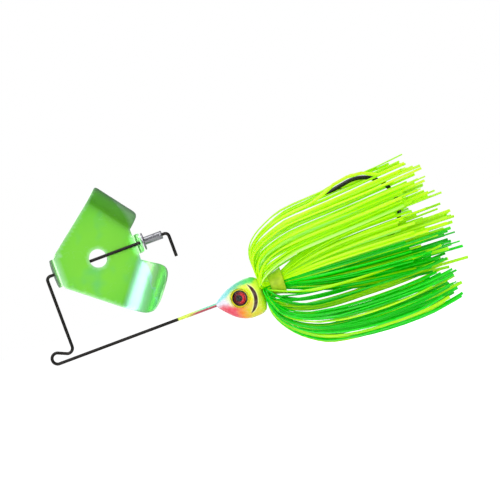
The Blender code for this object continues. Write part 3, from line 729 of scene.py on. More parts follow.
@dataclass(frozen=True)
class PrintedEye:
    """Printed foil eye: yellow margin, black ring, red iris and black pupil, on the disc's own UV map."""

    margin: Colour = (0.82, 0.78, 0.02)
    ring: Colour = (0.006, 0.003, 0.003)
    iris: Colour = (0.72, 0.012, 0.022)
    iris_deep: Colour = (0.16, 0.0, 0.004)
    pupil_shift: float = 0.07

    def build(self, effects: Effects) -> bpy.types.Material:
        """Builds the finish from the shared effects."""
        sketch, shader = new_finish(
            "printed_eye", Specular_IOR_Level=0.08, Coat_Weight=0.30, Coat_Roughness=0.05
        )
        source = sketch.add("ShaderNodeUVMap", uv_map="print")
        centred = sketch.add("ShaderNodeMapping", vector_type="POINT")
        sketch.feed(centred.inputs["Vector"], source.outputs[0])
        centred.inputs["Location"].default_value = (-1, -1, 0)
        centred.inputs["Scale"].default_value = (2, 2, 1)
        x, y, _ = sketch.parts(centred.outputs[0])
        radius = sketch.math("SQRT", sketch.math("MULTIPLY_ADD", x, x, sketch.math("MULTIPLY", y, y)))
        angle = sketch.math("ARCTAN2", y, x)
        pupil_x = sketch.math("ADD", x, self.pupil_shift)
        y_squared = sketch.math("MULTIPLY", y, y)
        pupil_reach = sketch.math("SQRT", sketch.math("MULTIPLY_ADD", pupil_x, pupil_x, y_squared))
        spokes = sketch.add("ShaderNodeTexNoise", noise_dimensions="2D")
        spoke_place = sketch.add("ShaderNodeCombineXYZ")
        sketch.feed(spoke_place.inputs[0], sketch.math("MULTIPLY", angle, 6.0))
        sketch.feed(spoke_place.inputs[1], sketch.math("MULTIPLY", radius, 1.5))
        sketch.feed(spokes.inputs["Vector"], spoke_place.outputs[0])
        spokes.inputs["Scale"].default_value = 2.0
        lit = sketch.ease(sketch.math("SUBTRACT", x, sketch.math("MULTIPLY", y, 0.35)), -0.25, 0.25)
        lit = sketch.math("MULTIPLY", lit, sketch.ease(spokes.outputs["Fac"], 0.2, 0.55, 0.55, 1.0))
        colour = sketch.blend(lit, self.iris_deep, self.iris)
        edge = sketch.ease(radius, 0.60, 0.68)
        inner_line = sketch.ease(radius, 0.50, 0.53)
        inner_line = sketch.math("MULTIPLY", inner_line, sketch.ease(radius, 0.60, 0.57))
        colour = sketch.blend(sketch.math("MULTIPLY", inner_line, 0.75), colour, self.ring)
        colour = sketch.blend(edge, colour, self.ring)
        colour = sketch.blend(sketch.ease(pupil_reach, 0.40, 0.35), colour, self.ring)
        colour = sketch.blend(sketch.ease(radius, 0.82, 0.86), colour, self.margin)
        grain = sketch.use(effects.grain, Vector=sketch.placed(), Scale=9000.0, Smoothest=0.25, Roughest=0.4)
        sketch.feed(shader.inputs["Base Color"], colour)
        sketch.feed(shader.inputs["Roughness"], grain.outputs["Roughness"])
        return material_of(sketch)


@dataclass(frozen=True)
class ClearResin:
    """Clear domed resin: only its gloss shows, where it turns away."""

    index: float = 1.5
    roughness: float = 0.03
    opacity: float = 0.6

    def build(self, effects: Effects) -> bpy.types.Material:
        """Builds the finish from the shared effects."""
        sketch, shader = new_finish("clear_resin", Base_Color=(1.0, 1.0, 1.0, 1), Metallic=1.0)
        gloss = sketch.add("ShaderNodeFresnel")
        gloss.inputs["IOR"].default_value = self.index
        grain = sketch.use(
            effects.grain, Vector=sketch.placed(), Scale=900.0, Smoothest=self.roughness,
            Roughest=3 * self.roughness,
        )
        sketch.feed(shader.inputs["Alpha"], sketch.ease(gloss.outputs[0], 0.09, 0.6, 0.0, self.opacity))
        sketch.feed(shader.inputs["Roughness"], grain.outputs["Roughness"])
        return material_of(sketch)


@dataclass(frozen=True)
class CandyMetal:
    """Transparent green lacquer over bright aluminium sheet, with painted highlights at rims, folds, tabs and
    along the lower wing's curl.
    """

    lacquer: Colour = (0.07, 0.60, 0.015)
    lime: Colour = (0.22, 0.78, 0.03)
    teal: Colour = (0.05, 0.58, 0.24)
    # pale: the painted highlights at rims and folds, the flake glints and the bare scratches
    pale: Colour = (0.50, 0.92, 0.50)
    # painted highlight stripe and painted lit green of the lower wing's curl
    curl_highlight: Colour = (0.42, 0.86, 0.80)
    lit_curl_green: Colour = (0.26, 0.84, 0.30)

    def build(self, effects: Effects, centre: Vector) -> bpy.types.Material:
        """Builds the finish.

        Args:
            effects: The shared effects.
            centre: The middle of the blade, where the lacquer is most lime.

        Returns:
            The material.
        """
        sketch, shader = new_finish(
            "candy_metal", Specular_IOR_Level=0.5, Coat_Weight=1.0, Coat_Roughness=0.06, Coat_IOR=1.5,
            Metallic=0.85, Anisotropic=0.25,
        )
        place = sketch.placed(location=tuple(-centre))
        length = sketch.add("ShaderNodeVectorMath", operation="LENGTH")
        sketch.feed(length.inputs[0], place)
        outward = sketch.ease(length.outputs["Value"], 6 * MM, 20 * MM)
        wander = sketch.noise(place, 110.0, 2.0)
        colour = sketch.blend(sketch.math("MULTIPLY", outward, 0.7), self.lime, self.lacquer)
        colour = sketch.blend(sketch.ease(wander, 0.50, 0.75, 0.0, 0.55), colour, self.teal)
        # painted highlight: paler at rims, round the hole, at the folds and on the tabs
        rim_highlight = sketch.add("ShaderNodeAttribute", attribute_name="edge_fade")
        colour = sketch.blend(sketch.math("MULTIPLY", rim_highlight.outputs["Fac"], 0.75), colour, self.pale)
        flake = sketch.add("ShaderNodeTexVoronoi")
        sketch.feed(flake.inputs["Vector"], place)
        flake.inputs["Scale"].default_value = 9000.0
        glint = sketch.ease(flake.outputs["Distance"], 0.28, 0.05, 0.0, 0.04)
        # painted light on the lower wing's curl only: a pale highlight stripe near its start, a paler lit
        # green beyond it and darker teal painted shade at its rim
        rolled = sketch.add("ShaderNodeAttribute", attribute_name="curl").outputs["Fac"]
        highlight_stripe = sketch.math("MULTIPLY", sketch.ease(rolled, 0.03, 0.16), sketch.ease(rolled, 0.55, 0.30))
        colour = sketch.blend(sketch.ease(rolled, 0.30, 0.50, 0.0, 0.8), colour, self.lit_curl_green)
        colour = sketch.blend(sketch.ease(rolled, 0.93, 1.0, 0.0, 0.8), colour, self.teal)
        colour = sketch.blend(sketch.math("MULTIPLY", highlight_stripe, 0.6), colour, self.curl_highlight)
        colour = sketch.blend(glint, colour, self.pale)
        stretched = sketch.placed(turn=(0, 0.5, 0), scale=(0.2, 1, 1))
        scratches = sketch.use(effects.scratches, Vector=stretched, Scale=900.0, Width=0.012)
        colour = sketch.blend(sketch.math("MULTIPLY", scratches.outputs["Mask"], 0.12), colour, self.pale)
        grain = sketch.use(effects.grain, Vector=place, Scale=1500.0, Smoothest=0.28, Roughest=0.36)
        sketch.feed(shader.inputs["Base Color"], colour)
        sketch.feed(shader.inputs["Roughness"], grain.outputs["Roughness"])
        sketch.feed(shader.inputs["Normal"], sketch.bump(sketch.noise(place, 160.0, 1.0), 0.00004, 0.3))
        return material_of(sketch)


@dataclass(frozen=True)
class CollarRubber:
    """Satin olive-lime rubber tube."""

    base: Colour = (0.42, 0.58, 0.01)
    patch: Colour = (0.58, 0.74, 0.02)

    def build(self, effects: Effects) -> bpy.types.Material:
        """Builds the finish from the shared effects."""
        sketch, shader = new_finish("collar_rubber", Specular_IOR_Level=0.4, Sheen_Weight=0.15)
        place = sketch.placed()
        clouds = sketch.use(
            effects.clouding, Vector=place, Colour=self.base, Patch_colour=self.patch, Scale=700.0, Amount=0.8
        )
        grain = sketch.use(effects.grain, Vector=place, Scale=5200.0, Smoothest=0.38, Roughest=0.58)
        sketch.feed(shader.inputs["Base Color"], clouds.outputs["Colour"])
        sketch.feed(shader.inputs["Roughness"], grain.outputs["Roughness"])
        sketch.feed(shader.inputs["Normal"], sketch.bump(grain.outputs["Height"], 0.00003, 0.6))
        return material_of(sketch)


@dataclass(frozen=True)
class SkirtSilicone:
    """Translucent silicone strands with a faint painted glow; each strand's own tone and place along it come
    from mesh attributes.
    """

    name: str
    deep: Colour
    bright: Colour
    odd: Colour
    odd_from: float
    # strength of the strands' painted glow
    glow: float = 0.14

    def build(self, effects: Effects) -> bpy.types.Material:
        """Builds the finish from the shared effects."""
        # the emission is a painted glow in the strand's own colour
        sketch, shader = new_finish(
            self.name, Specular_IOR_Level=0.35, Coat_Weight=0.2, Coat_Roughness=0.12, IOR=1.42,
            Subsurface_Weight=0.25, Subsurface_Scale=0.0006, Emission_Strength=self.glow,
        )
        shader.inputs["Subsurface Radius"].default_value = (1.0, 1.0, 0.4)
        place = sketch.placed()
        tone = sketch.add("ShaderNodeAttribute", attribute_name="strand_tone").outputs["Fac"]
        along = sketch.add("ShaderNodeAttribute", attribute_name="strand_along").outputs["Fac"]
        colour = sketch.blend(sketch.ease(tone, 0.0, 0.8), self.deep, self.bright)
        colour = sketch.blend(sketch.ease(tone, self.odd_from, self.odd_from + 0.02), colour, self.odd)
        # painted shade: strands darken towards the collar, where they bunch together
        root = sketch.ease(along, 0.10, 0.0)
        colour = sketch.blend(sketch.math("MULTIPLY", root, 0.4), colour, self.deep)
        clouds = sketch.use(
            effects.clouding, Vector=sketch.placed(scale=(0.25, 1, 1)), Colour=colour,
            Patch_colour=self.bright, Scale=260.0, Amount=0.35,
        )
        grain = sketch.use(effects.grain, Vector=place, Scale=2600.0, Smoothest=0.22, Roughest=0.42)
        sketch.feed(shader.inputs["Base Color"], clouds.outputs["Colour"])
        sketch.feed(shader.inputs["Emission Color"], clouds.outputs["Colour"])
        sketch.feed(shader.inputs["Roughness"], grain.outputs["Roughness"])
        sketch.feed(shader.inputs["Normal"], sketch.bump(grain.outputs["Height"], 0.000015, 0.5))
        return material_of(sketch)


# ---------------------------------------------------------------- layout


@dataclass(frozen=True)
class Layout:
    """Where the pieces lie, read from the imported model."""

    arm_z: float
    nose_x: float
    head_rear_x: float
    collar_x: float
    collar_end_x: float
    rivet_x: float
    rivet_end_x: float
    shaft_z: float
    hook_low_x: float

    @classmethod
    def read(
        cls, tie_loop_radius: float = 1.55 * MM, crown: float = 0.25 * MM, head_length: float = 13.7 * MM
    ) -> "Layout":
        """Reads the layout.

        Args:
            tie_loop_radius: The line tie's loop, whose centre is the origin.
            crown: How far the casting's end stands before its first ring.
            head_length: The head's length without its keeper.

        Returns:
            The layout.
        """
        nose_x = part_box("head_casting")[0][0] + crown
        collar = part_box("skirt_collar")
        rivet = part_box("bearing_rivet")
        return cls(
            arm_z=-tie_loop_radius,
            nose_x=nose_x,
            head_rear_x=nose_x + head_length,
            collar_x=collar[0][0],
            collar_end_x=collar[1][0],
            rivet_x=rivet[0][0],
            rivet_end_x=rivet[1][0],
            shaft_z=(rivet[0][2] + rivet[1][2]) / 2,
            hook_low_x=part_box("hook")[0][0],
        )


# ---------------------------------------------------------------- wire form


@dataclass
class WireForm:
    """The one bent wire: painted arm, line tie, riser, blade shaft and turned-down tail."""

    layout: Layout
    radius: float = 0.45 * MM
    tie_radius: float = 1.55 * MM
    dip_radius: float = 1.5 * MM
    dip_z: float = 1.76 * MM
    riser_x: float = 5.0 * MM
    corner_radius: float = 1.1 * MM
    tail_length: float = 7.1 * MM
    rear_play: float = 0.6 * MM
    paint_length: float = 11.6 * MM
    paint_build: float = 0.07 * MM
    cast_in: float = 1.5 * MM
    painted_steps: int = 12
    sides: int = 16

    def path(self) -> list[Vector]:
        """The centre line from just inside the head to the tail's end."""
        place = self.layout
        low = place.arm_z
        points = [Vector((place.nose_x + self.cast_in, 0, low))]
        paint_start = place.nose_x - self.paint_length
        points += [
            Vector((place.nose_x + (paint_start - place.nose_x) * step / self.painted_steps, 0, low))
            for step in range(self.painted_steps + 1)
        ]
        points += [Vector((paint_start * share, 0, low)) for share in (0.98, 0.6, 0.3, 0.05)]
        dip = Vector((self.riser_x - self.dip_radius, self.dip_z))
        lean = math.atan2(dip.y, dip.x) - math.asin((self.tie_radius + self.dip_radius) / dip.length)
        points += arc((0, 0), self.tie_radius, -math.pi / 2, lean - math.pi, 36)
        points += arc((dip.x, dip.y), self.dip_radius, lean - math.pi / 2, math.pi / 2 - lean, 16)
        top = place.shaft_z - self.corner_radius
        points += arc((self.riser_x + self.corner_radius, top), self.corner_radius, math.pi, -math.pi / 2, 12)
        end_x = place.rivet_end_x + self.rear_play
        points += arc((end_x, top), self.corner_radius, math.pi / 2, -math.pi / 2, 12)
        points.append(Vector((end_x + self.corner_radius, 0, place.shaft_z - self.tail_length + 0.1 * MM)))
        points.append(Vector((end_x + self.corner_radius, 0, place.shaft_z - self.tail_length)))
        return points

    def build(self, material: bpy.types.Material) -> None:
        """Builds the wire in its finish."""
        points = self.path()
        paint_start = self.layout.nose_x - self.paint_length
        sizes = []
        for index, point in enumerate(points):
            radius = self.radius
            if index <= self.painted_steps + 1:
                radius += self.paint_build * smooth_step((point.x - paint_start) / (4 * MM))
            sizes.append((radius, radius))
        sizes[-1] = (0.86 * self.radius, 0.86 * self.radius)
        work = bmesh.new()
        sweep_section(work, points, sizes, [Vector((0, 1, 0))] * len(points), self.sides)
        keep_piece(work, "wire_arm_and_shaft", Body.FRAME, material, ["wire_form"])


# ---------------------------------------------------------------- head and eyes


@dataclass
class Head:
    """The cast, painted head with its collar keeper and two set-in eyes."""

    layout: Layout
    length: float = 13.7 * MM
    above: float = 4.2 * MM
    below: float = 6.9 * MM
    half_width: float = 4.5 * MM
    crown: float = 0.25 * MM
    keeper_radius: float = 1.10 * MM
    keeper_length: float = 8.0 * MM
    eye_radius: float = 2.65 * MM
    eye_from_nose: float = 6.9 * MM
    eye_below_arm: float = 0.4 * MM
    eye_sink: float = 0.62 * MM
    disc_thickness: float = 0.3 * MM
    disc_crown: float = 0.22 * MM
    dome_height: float = 0.95 * MM
    dome_gap: float = 0.04 * MM
    rim_width: float = 0.30 * MM
    rim_height: float = 0.42 * MM
    around: int = 144
    stations: int = 64

    # How far behind the nose and above the arm the gill slash's top, middle and foot are
    GILL = ((9.85 * MM, 2.65 * MM), (11.05 * MM, -1.75 * MM), (8.25 * MM, -5.55 * MM))
    # Share of the length, then shares of the height above, the height below and the half width
    OUTLINE = (
        (0.0, 0.14, 0.09, 0.14),
        (0.04, 0.22, 0.20, 0.22),
        (0.13, 0.42, 0.42, 0.42),
        (0.27, 0.67, 0.70, 0.66),
        (0.42, 0.85, 0.89, 0.84),
        (0.58, 0.97, 0.99, 0.96),
        (0.72, 1.0, 1.0, 1.0),
        (0.85, 0.95, 0.97, 0.96),
        (0.94, 0.78, 0.85, 0.82),
        (0.985, 0.50, 0.58, 0.55),
    )

    def half_width_at(self, share: float) -> float:
        """The cast half width at this share of the length."""
        for low, high in zip(self.OUTLINE, self.OUTLINE[1:]):
            if share <= high[0]:
                t = (share - low[0]) / (high[0] - low[0])
                return (low[3] + (high[3] - low[3]) * t) * self.half_width
        return self.OUTLINE[-1][3] * self.half_width

    def eye_place(self, side: Side) -> Matrix:
        """The eye's own frame: its Z points out of the head's side."""
        share = self.eye_from_nose / self.length
        reach = self.eye_radius / self.length
        widths = [self.half_width_at(share + step) for step in (-reach, 0, reach)]
        slope = math.atan2(widths[2] - widths[0], 2 * self.eye_radius)
        sign = side.value
        centre = Vector((
            self.layout.nose_x + self.eye_from_nose,
            sign * (widths[1] - self.eye_sink),
            self.layout.arm_z - self.eye_below_arm,
        ))
        outward = Vector((-math.sin(slope), sign * math.cos(slope), 0))
        along = Vector((math.cos(slope), sign * math.sin(slope), 0))
        turn = Matrix((along, outward.cross(along), outward)).transposed()
        return Matrix.Translation(centre) @ turn.to_4x4()

    def gill_points(self) -> list[tuple[float, float]]:
        """X and Z of the gill slash's top, middle and foot."""
        return [(self.layout.nose_x + x, self.layout.arm_z + z) for x, z in self.GILL]

    def rings(self) -> list[Vector]:
        """X, height above, height below and half width of every ring, from the nose to the keeper's end."""
        knots = [
            Vector((self.layout.nose_x + share * self.length, above * self.above, below * self.below,
                    width * self.half_width))
            for share, above, below, width in self.OUTLINE
        ]
        nose_x = self.layout.nose_x - 0.6 * self.crown
        nose = Vector((nose_x, 0.07 * self.above, 0.045 * self.below, 0.07 * self.half_width))
        rings = [nose] + smooth_path(knots, self.stations)
        rear = self.layout.head_rear_x
        size = self.keeper_radius
        end = rear + self.keeper_length
        for x, share in (
            (rear - 0.05 * MM, 1.45), (rear + 0.15 * MM, 1.08), (rear + 0.35 * MM, 1.0),
            (end - 2.3 * MM, 1.0), (end - 1.7 * MM, 1.1), (end - 1.5 * MM, 1.1), (end - 0.5 * MM, 1.0),
            (end, 0.9), (end + 0.1 * MM, 0.6),
        ):
            rings.append(Vector((x, share * size, share * size, share * size)))
        return rings

    def build_casting(self, material: bpy.types.Material) -> None:
        """Builds the casting, flattened under each eye."""
        rings = self.rings()
        work = bmesh.new()
        bmesh.ops.create_uvsphere(work, u_segments=self.around, v_segments=len(rings) + 1, radius=1)
        for vertex in work.verts:
            index = round(math.acos(max(-1.0, min(1.0, vertex.co.z))) / math.pi * (len(rings) + 1))
            if index == 0:
                vertex.co = (rings[0][0] - 0.4 * self.crown, 0, self.layout.arm_z)
                continue
            if index == len(rings) + 1:
                vertex.co = (rings[-1][0] + 0.1 * MM, 0, self.layout.arm_z)
                continue
            x, above, below, half_width = rings[index - 1]
            around = math.atan2(vertex.co.y, vertex.co.x)
            rise = math.sin(around)
            height = self.layout.arm_z + (above if rise > 0 else below) * rise
            vertex.co = (x, half_width * math.cos(around), height)
        bmesh.ops.reverse_faces(work, faces=work.faces)
        for side in Side:
            self._seat_eye(work, self.eye_place(side))
        keep_piece(work, "painted_head", Body.FRAME, material, ["head_casting"], 60)

    def _seat_eye(self, work: bmesh.types.BMesh, place: Matrix) -> None:
        """Draws the casting's skin to a flat seat under an eye.

        Args:
            work: The casting.
            place: The eye's frame.
        """
        back = place.inverted()
        seat = self.eye_radius + 0.5 * self.rim_width
        for vertex in work.verts:
            local = back @ vertex.co
            if local.z < -3 * MM:
                continue
            away = math.hypot(local.x, local.y)
            share = 1 - smooth_step((away - seat) / (0.9 * MM))
            if share <= 0:
                continue
            local.z += (-0.03 * MM - local.z) * share
            vertex.co = place @ local

    def build_eyes(
        self, paint: bpy.types.Material, printed: bpy.types.Material, resin: bpy.types.Material
    ) -> None:
        """Builds each eye's rim, printed disc and clear dome."""
        for side in Side:
            place = self.eye_place(side)
            self._build_rim(side, place, paint)
            self._build_disc(side, place, printed)
            self._build_dome(side, place, resin)

    def _build_rim(self, side: Side, place: Matrix, material: bpy.types.Material) -> None:
        """Builds the raised, painted rim that holds an eye."""
        inner = self.eye_radius + 0.03 * MM
        outer = inner + self.rim_width
        top, low = self.rim_height, -0.35 * MM
        profile = [
            (inner, low), (inner, top - 0.08 * MM), (inner + 0.06 * MM, top),
            (inner + 0.14 * MM, top + 0.02 * MM),
            (outer - 0.06 * MM, top - 0.08 * MM), (outer + 0.05 * MM, 0.0), (outer + 0.3 * MM, low),
        ]
        work = bmesh.new()
        turned_solid(work, profile, 72, place)
        keep_piece(work, f"eye_rim_{side.label}", Body.FRAME, material)

    def _build_disc(self, side: Side, place: Matrix, material: bpy.types.Material) -> None:
        """Builds the printed disc and lays its print on it."""
        work = bmesh.new()
        radius, top = self.eye_radius, self.disc_thickness
        crown = self.disc_crown
        profile = [(0, 0), (radius, 0), (radius, top - crown)]
        profile += [
            (radius * math.cos(a), top - crown + crown * math.sin(a))
            for a in [0.1 * step for step in range(1, 16)]
        ]
        profile.append((0, top))
        turned_solid(work, profile, 64, place)
        layer = work.loops.layers.uv.new("print")
        back = place.inverted()
        for face in work.faces:
            for loop in face.loops:
                local = back @ loop.vert.co
                loop[layer].uv = (0.5 + local.x / radius / 2, 0.5 - local.y * side.value / radius / 2)
        node = f"eye_disc_{side.label}"
        keep_piece(work, f"printed_eye_{side.label}", Body.FRAME, material, [node])

    def _build_dome(self, side: Side, place: Matrix, material: bpy.types.Material) -> None:
        """Builds the clear dome over the print."""
        base = self.disc_thickness + self.dome_gap
        rim = base + 0.2 * MM
        radius = self.eye_radius - 0.02 * MM
        rise = self.dome_height - 0.06 * MM
        angles = [math.pi / 2 * step / 14 for step in range(14)]
        profile = [(0, base), (radius, base)]
        profile += [(radius * math.cos(a), rim + rise * math.sin(a)) for a in angles]
        profile.append((0, rim + rise))
        work = bmesh.new()
        turned_solid(work, profile, 64, place)
        node = f"eye_dome_{side.label}"
        keep_piece(work, f"resin_dome_{side.label}", Body.FRAME, material, [node])


# ---------------------------------------------------------------- hook


@dataclass
class Hook:
    """The single forged hook: eye, shank, round bend, barb and needle point."""

    layout: Layout
    radius: float = 0.6 * MM
    eye_radius: float = 1.6 * MM
    bend_radius: float = 9.8 * MM
    shank_length: float = 39.2 * MM
    point_length: float = 7.4 * MM
    taper_length: float = 3.4 * MM
    sweep: float = math.radians(189)
    point_slope: float = 0.158
    barb_length: float = 2.2 * MM
    sides: int = 14

    @property
    def eye_x(self) -> float:
        """Where the eye's centre lies along X."""
        return self.layout.hook_low_x + self.eye_radius + self.radius

    @property
    def bend_x(self) -> float:
        """Where the bend's centre lies along X."""
        return self.eye_x + self.shank_length

    @property
    def bend_z(self) -> float:
        """The height of the bend's centre."""
        return self.layout.arm_z + self.bend_radius

    def build(self, material: bpy.types.Material) -> None:
        """Builds the hook in its finish."""
        eye_x, bend_x = self.eye_x, self.bend_x
        low = self.layout.arm_z
        gap = math.radians(42)
        points = arc((eye_x, low), self.eye_radius, gap, 2 * (math.pi - gap), 24)
        shank_start = eye_x + 1.7 * self.eye_radius
        points += [Vector((shank_start + (bend_x - shank_start) * step / 6, 0, low)) for step in range(6)]
        points += arc((bend_x, low + self.bend_radius), self.bend_radius, -math.pi / 2, self.sweep, 44)
        sizes = [(self.radius, self.radius)] * len(points)
        heading = Vector((math.cos(self.sweep), 0, math.sin(self.sweep)))
        end = points[-1]
        straight = self.point_length - self.taper_length
        for share, size in ((0.0, 1.0), (0.25, 0.92), (0.5, 0.74), (0.75, 0.46), (0.92, 0.22), (1.0, 0.07)):
            points.append(end + heading * (straight + self.taper_length * share))
            sizes.append((size * self.radius, size * self.radius))
        work = bmesh.new()
        sweep_section(work, points, sizes, [Vector((0, 1, 0))] * len(points), self.sides)
        self._cut_barb(work, end + heading * straight, heading)
        keep_piece(work, "forged_hook", Body.FRAME, material, ["hook"], 50)

    def _cut_barb(self, work: bmesh.types.BMesh, base: Vector, heading: Vector) -> None:
        """Raises the barb's sliver on the inner side of the point.

        Args:
            work: The hook.
            base: Where the point starts to taper.
            heading: The direction of the point.
        """
        inward = Vector((-heading.z, 0, heading.x))
        direction = (-heading + 0.42 * inward).normalized()
        start = base + 0.15 * self.radius * inward
        points = [start - direction * 0.2 * MM, start + direction * 0.5 * self.barb_length]
        points.append(start + direction * 0.98 * self.barb_length)
        sizes = [(0.75 * self.radius, 0.7 * self.radius), (0.45 * self.radius, 0.3 * self.radius)]
        sizes.append((0.06 * self.radius, 0.04 * self.radius))
        sweep_section(work, points, sizes, [Vector((0, 1, 0))] * 3, 8)


# ---------------------------------------------------------------- blade and rivet


@dataclass
class Blade:
    """The folded delta blade: two curled wings and two bent tabs that run on the shaft."""

    centre: Vector
    thickness: float = 0.5 * MM
    tilt: float = math.radians(18)
    front_length: float = 11.8 * MM
    rear_length: float = 11.5 * MM
    front_half_width: float = 4.7 * MM
    wing_angle: float = math.radians(38)
    wing_width: float = 14.5 * MM
    wing_length: float = 33.7 * MM
    wing_flat: float = 19.0 * MM
    curl_radius: float = 8.8 * MM
    curl_blend: float = 3.0 * MM
    hole_radius: float = 2.6 * MM
    tab_lean: float = math.radians(12)
    tab_radius: float = 0.8 * MM
    shaft_hole_radius: float = 0.65 * MM
    front_tab: float = 4.0 * MM
    rear_tab: float = 2.75 * MM
    beyond_hole: float = 2.4 * MM
    grid: float = 0.9 * MM
    # how far the painted highlights reach from the rims and from the folds
    edge_highlight_reach: float = 0.9 * MM
    fold_highlight_reach: float = 1.6 * MM

    @property
    def length(self) -> float:
        """The flat sheet's length between its two bend lines."""
        return self.front_length + self.rear_length

    @property
    def tab_bend(self) -> float:
        """How far each tab is bent."""
        return math.pi / 2 + self.tilt - self.tab_lean

    def bent_tab(self, distance: float) -> tuple[float, float]:
        """How far along and off the sheet a tab's middle surface is at this distance past its bend line."""
        turned = min(distance / self.tab_radius, self.tab_bend)
        beyond = max(distance - self.tab_radius * self.tab_bend, 0)
        along = self.tab_radius * math.sin(turned) + beyond * math.cos(self.tab_bend)
        off = self.tab_radius * (1 - math.cos(turned)) + beyond * math.sin(self.tab_bend)
        return along, off

    def tab_hole(self, reach: float) -> float:
        """How far along a tab the shaft crosses it, for a bend line this far from the blade's centre."""
        start = self.tab_radius * self.tab_bend
        along, off = self.bent_tab(start)
        slope = math.tan(self.tilt)
        closing = math.sin(self.tab_bend) - math.cos(self.tab_bend) * slope
        return start + ((reach + along) * slope - off) / closing

    def wing_to_sheet(self, out: float, across: float) -> tuple[float, float]:
        """Turns a place along and across a wing into one along the sheet and to its side, or back."""
        cos, sin = math.cos(self.wing_angle), math.sin(self.wing_angle)
        return out * cos + across * sin, out * sin - across * cos

    def outline(self) -> list[tuple[float, float]]:
        """The flat pattern's outline for one side, from the front tab's end to the rear tab's end."""
        front_hole, rear_hole = self.tab_hole(self.front_length), self.tab_hole(self.rear_length)
        centre = -(front_hole + self.beyond_hole - self.front_tab)
        quarter = [math.pi / 2 * (1 - step / 12) for step in range(13)]
        points = [(centre - self.front_tab * math.sin(a), self.front_tab * math.cos(a)) for a in quarter]
        points += [(0, self.front_tab), (0.2 * MM, self.front_half_width)]
        outer = -self.front_half_width * math.cos(self.wing_angle)
        radius = self.wing_width / 2
        for step in range(25):
            angle = -math.pi / 2 + math.pi * step / 24
            out = self.wing_length - radius + radius * math.cos(angle)
            points.append(self.wing_to_sheet(out, outer + radius + radius * math.sin(angle)))
        root = self.length * math.sin(self.wing_angle) - (outer + self.wing_width)
        root /= math.cos(self.wing_angle)
        points += [(self.length, root), (self.length, self.rear_tab)]
        centre = self.length + rear_hole + self.beyond_hole - self.rear_tab
        points += [(centre + self.rear_tab * math.cos(a), self.rear_tab * math.sin(a)) for a in quarter]
        return points

    def bend(self, flat: Vector) -> Vector:
        """Bends a point of the flat pattern into its place on the lure."""
        along, side, off = flat.x, flat.y, 0.0
        if along < 0:
            reach, off = self.bent_tab(-along)
            along, off = -reach, -off
        elif along > self.length and abs(side) <= self.rear_tab + 0.02 * MM:
            reach, off = self.bent_tab(along - self.length)
            along = self.length + reach
        else:
            out, across = self.wing_to_sheet(along, abs(side))
            blend = smooth_step((abs(side) - self.rear_tab) / self.curl_blend)
            excess = max(out - self.wing_flat, 0)
            turned = excess * blend / self.curl_radius
            out = out - excess * blend + self.curl_radius * math.sin(turned)
            off = -math.copysign(self.curl_radius * (1 - math.cos(turned)), side)
            along, outward = self.wing_to_sheet(out, across)
            side = math.copysign(outward, side)
        along -= self.front_length
        x = along * math.cos(self.tilt) + off * math.sin(self.tilt)
        near = -along * math.sin(self.tilt) + off * math.cos(self.tilt)
        return self.centre + Vector((x, -near, side))

    def build(self, material: bpy.types.Material) -> None:
        """Builds the blade: cut flat, gridded, then bent and thickened."""
        work = bmesh.new()
        half = self.outline()
        loops = [half + [(along, -side) for along, side in reversed(half[1:-1])]]
        holes = (
            (self.front_length, self.hole_radius, 48),
            (-self.tab_hole(self.front_length), self.shaft_hole_radius, 20),
            (self.length + self.tab_hole(self.rear_length), self.shaft_hole_radius, 20),
        )
        for centre, radius, steps in holes:
            angles = [2 * math.pi * step / steps for step in range(steps)]
            loops.append([(centre + radius * math.cos(a), radius * math.sin(a)) for a in angles])
        edges = []
        for loop in loops:
            corners = [work.verts.new((x, y, 0)) for x, y in loop]
            edges += [work.edges.new((corners[i - 1], corners[i])) for i in range(len(corners))]
        bmesh.ops.triangle_fill(work, use_beauty=True, use_dissolve=False, edges=edges)
        self._grid(work)
        self._mark(work)
        for vertex in work.verts:
            vertex.co = self.bend(vertex.co)
        bmesh.ops.recalc_face_normals(work, faces=work.faces)
        keep_piece(work, "folded_blade", Body.BLADE, material, ["buzz_blade"], 60)
        piece = bpy.data.objects["folded_blade"]
        sheet = piece.modifiers.new("sheet", "SOLIDIFY")
        sheet.thickness = self.thickness
        sheet.offset = 0
        edge = piece.modifiers.new("broken edge", "BEVEL")
        edge.width = 0.08 * MM
        edge.segments = 2
        edge.limit_method = "ANGLE"
        edge.angle_limit = math.radians(55)

    def _mark(self, work: bmesh.types.BMesh) -> None:
        """Marks where the painted highlights go: near rims, folds and tabs, and along the lower wing's curl.
        """
        highlight_layer = work.verts.layers.float.new("edge_fade")
        curl = work.verts.layers.float.new("curl")
        rims = [edge for edge in work.edges if len(edge.link_faces) == 1]
        rim_lines = [(edge.verts[0].co.copy(), edge.verts[1].co - edge.verts[0].co) for edge in rims]
        for vertex in work.verts:
            place = vertex.co
            near = min(
                (start + way * min(max((place - start).dot(way) / way.length_squared, 0), 1) - place).length
                for start, way in rim_lines
            )
            rear_fold = abs(place.x - self.length) + (1.0 if abs(place.y) > self.rear_tab else 0.0)
            fold = min(abs(place.x), rear_fold)
            tab = 1.0 if place.x < 0 or place.x > self.length else 0.0
            edge_share = 1 - smooth_step(near / self.edge_highlight_reach)
            fold_share = 1 - smooth_step(fold / self.fold_highlight_reach)
            # painted highlight share: pale near rims and the hole, at the folds and on the tabs
            vertex[highlight_layer] = max(0.8 * edge_share, fold_share, 0.7 * tab)
            # the lower wing's curl only, for its painted highlight stripe, lit green and shaded rim
            out, _ = self.wing_to_sheet(place.x, abs(place.y))
            curled = max(out - self.wing_flat, 0) / (self.wing_length - self.wing_flat)
            vertex[curl] = curled * (1 - tab) if place.y < 0 else 0.0

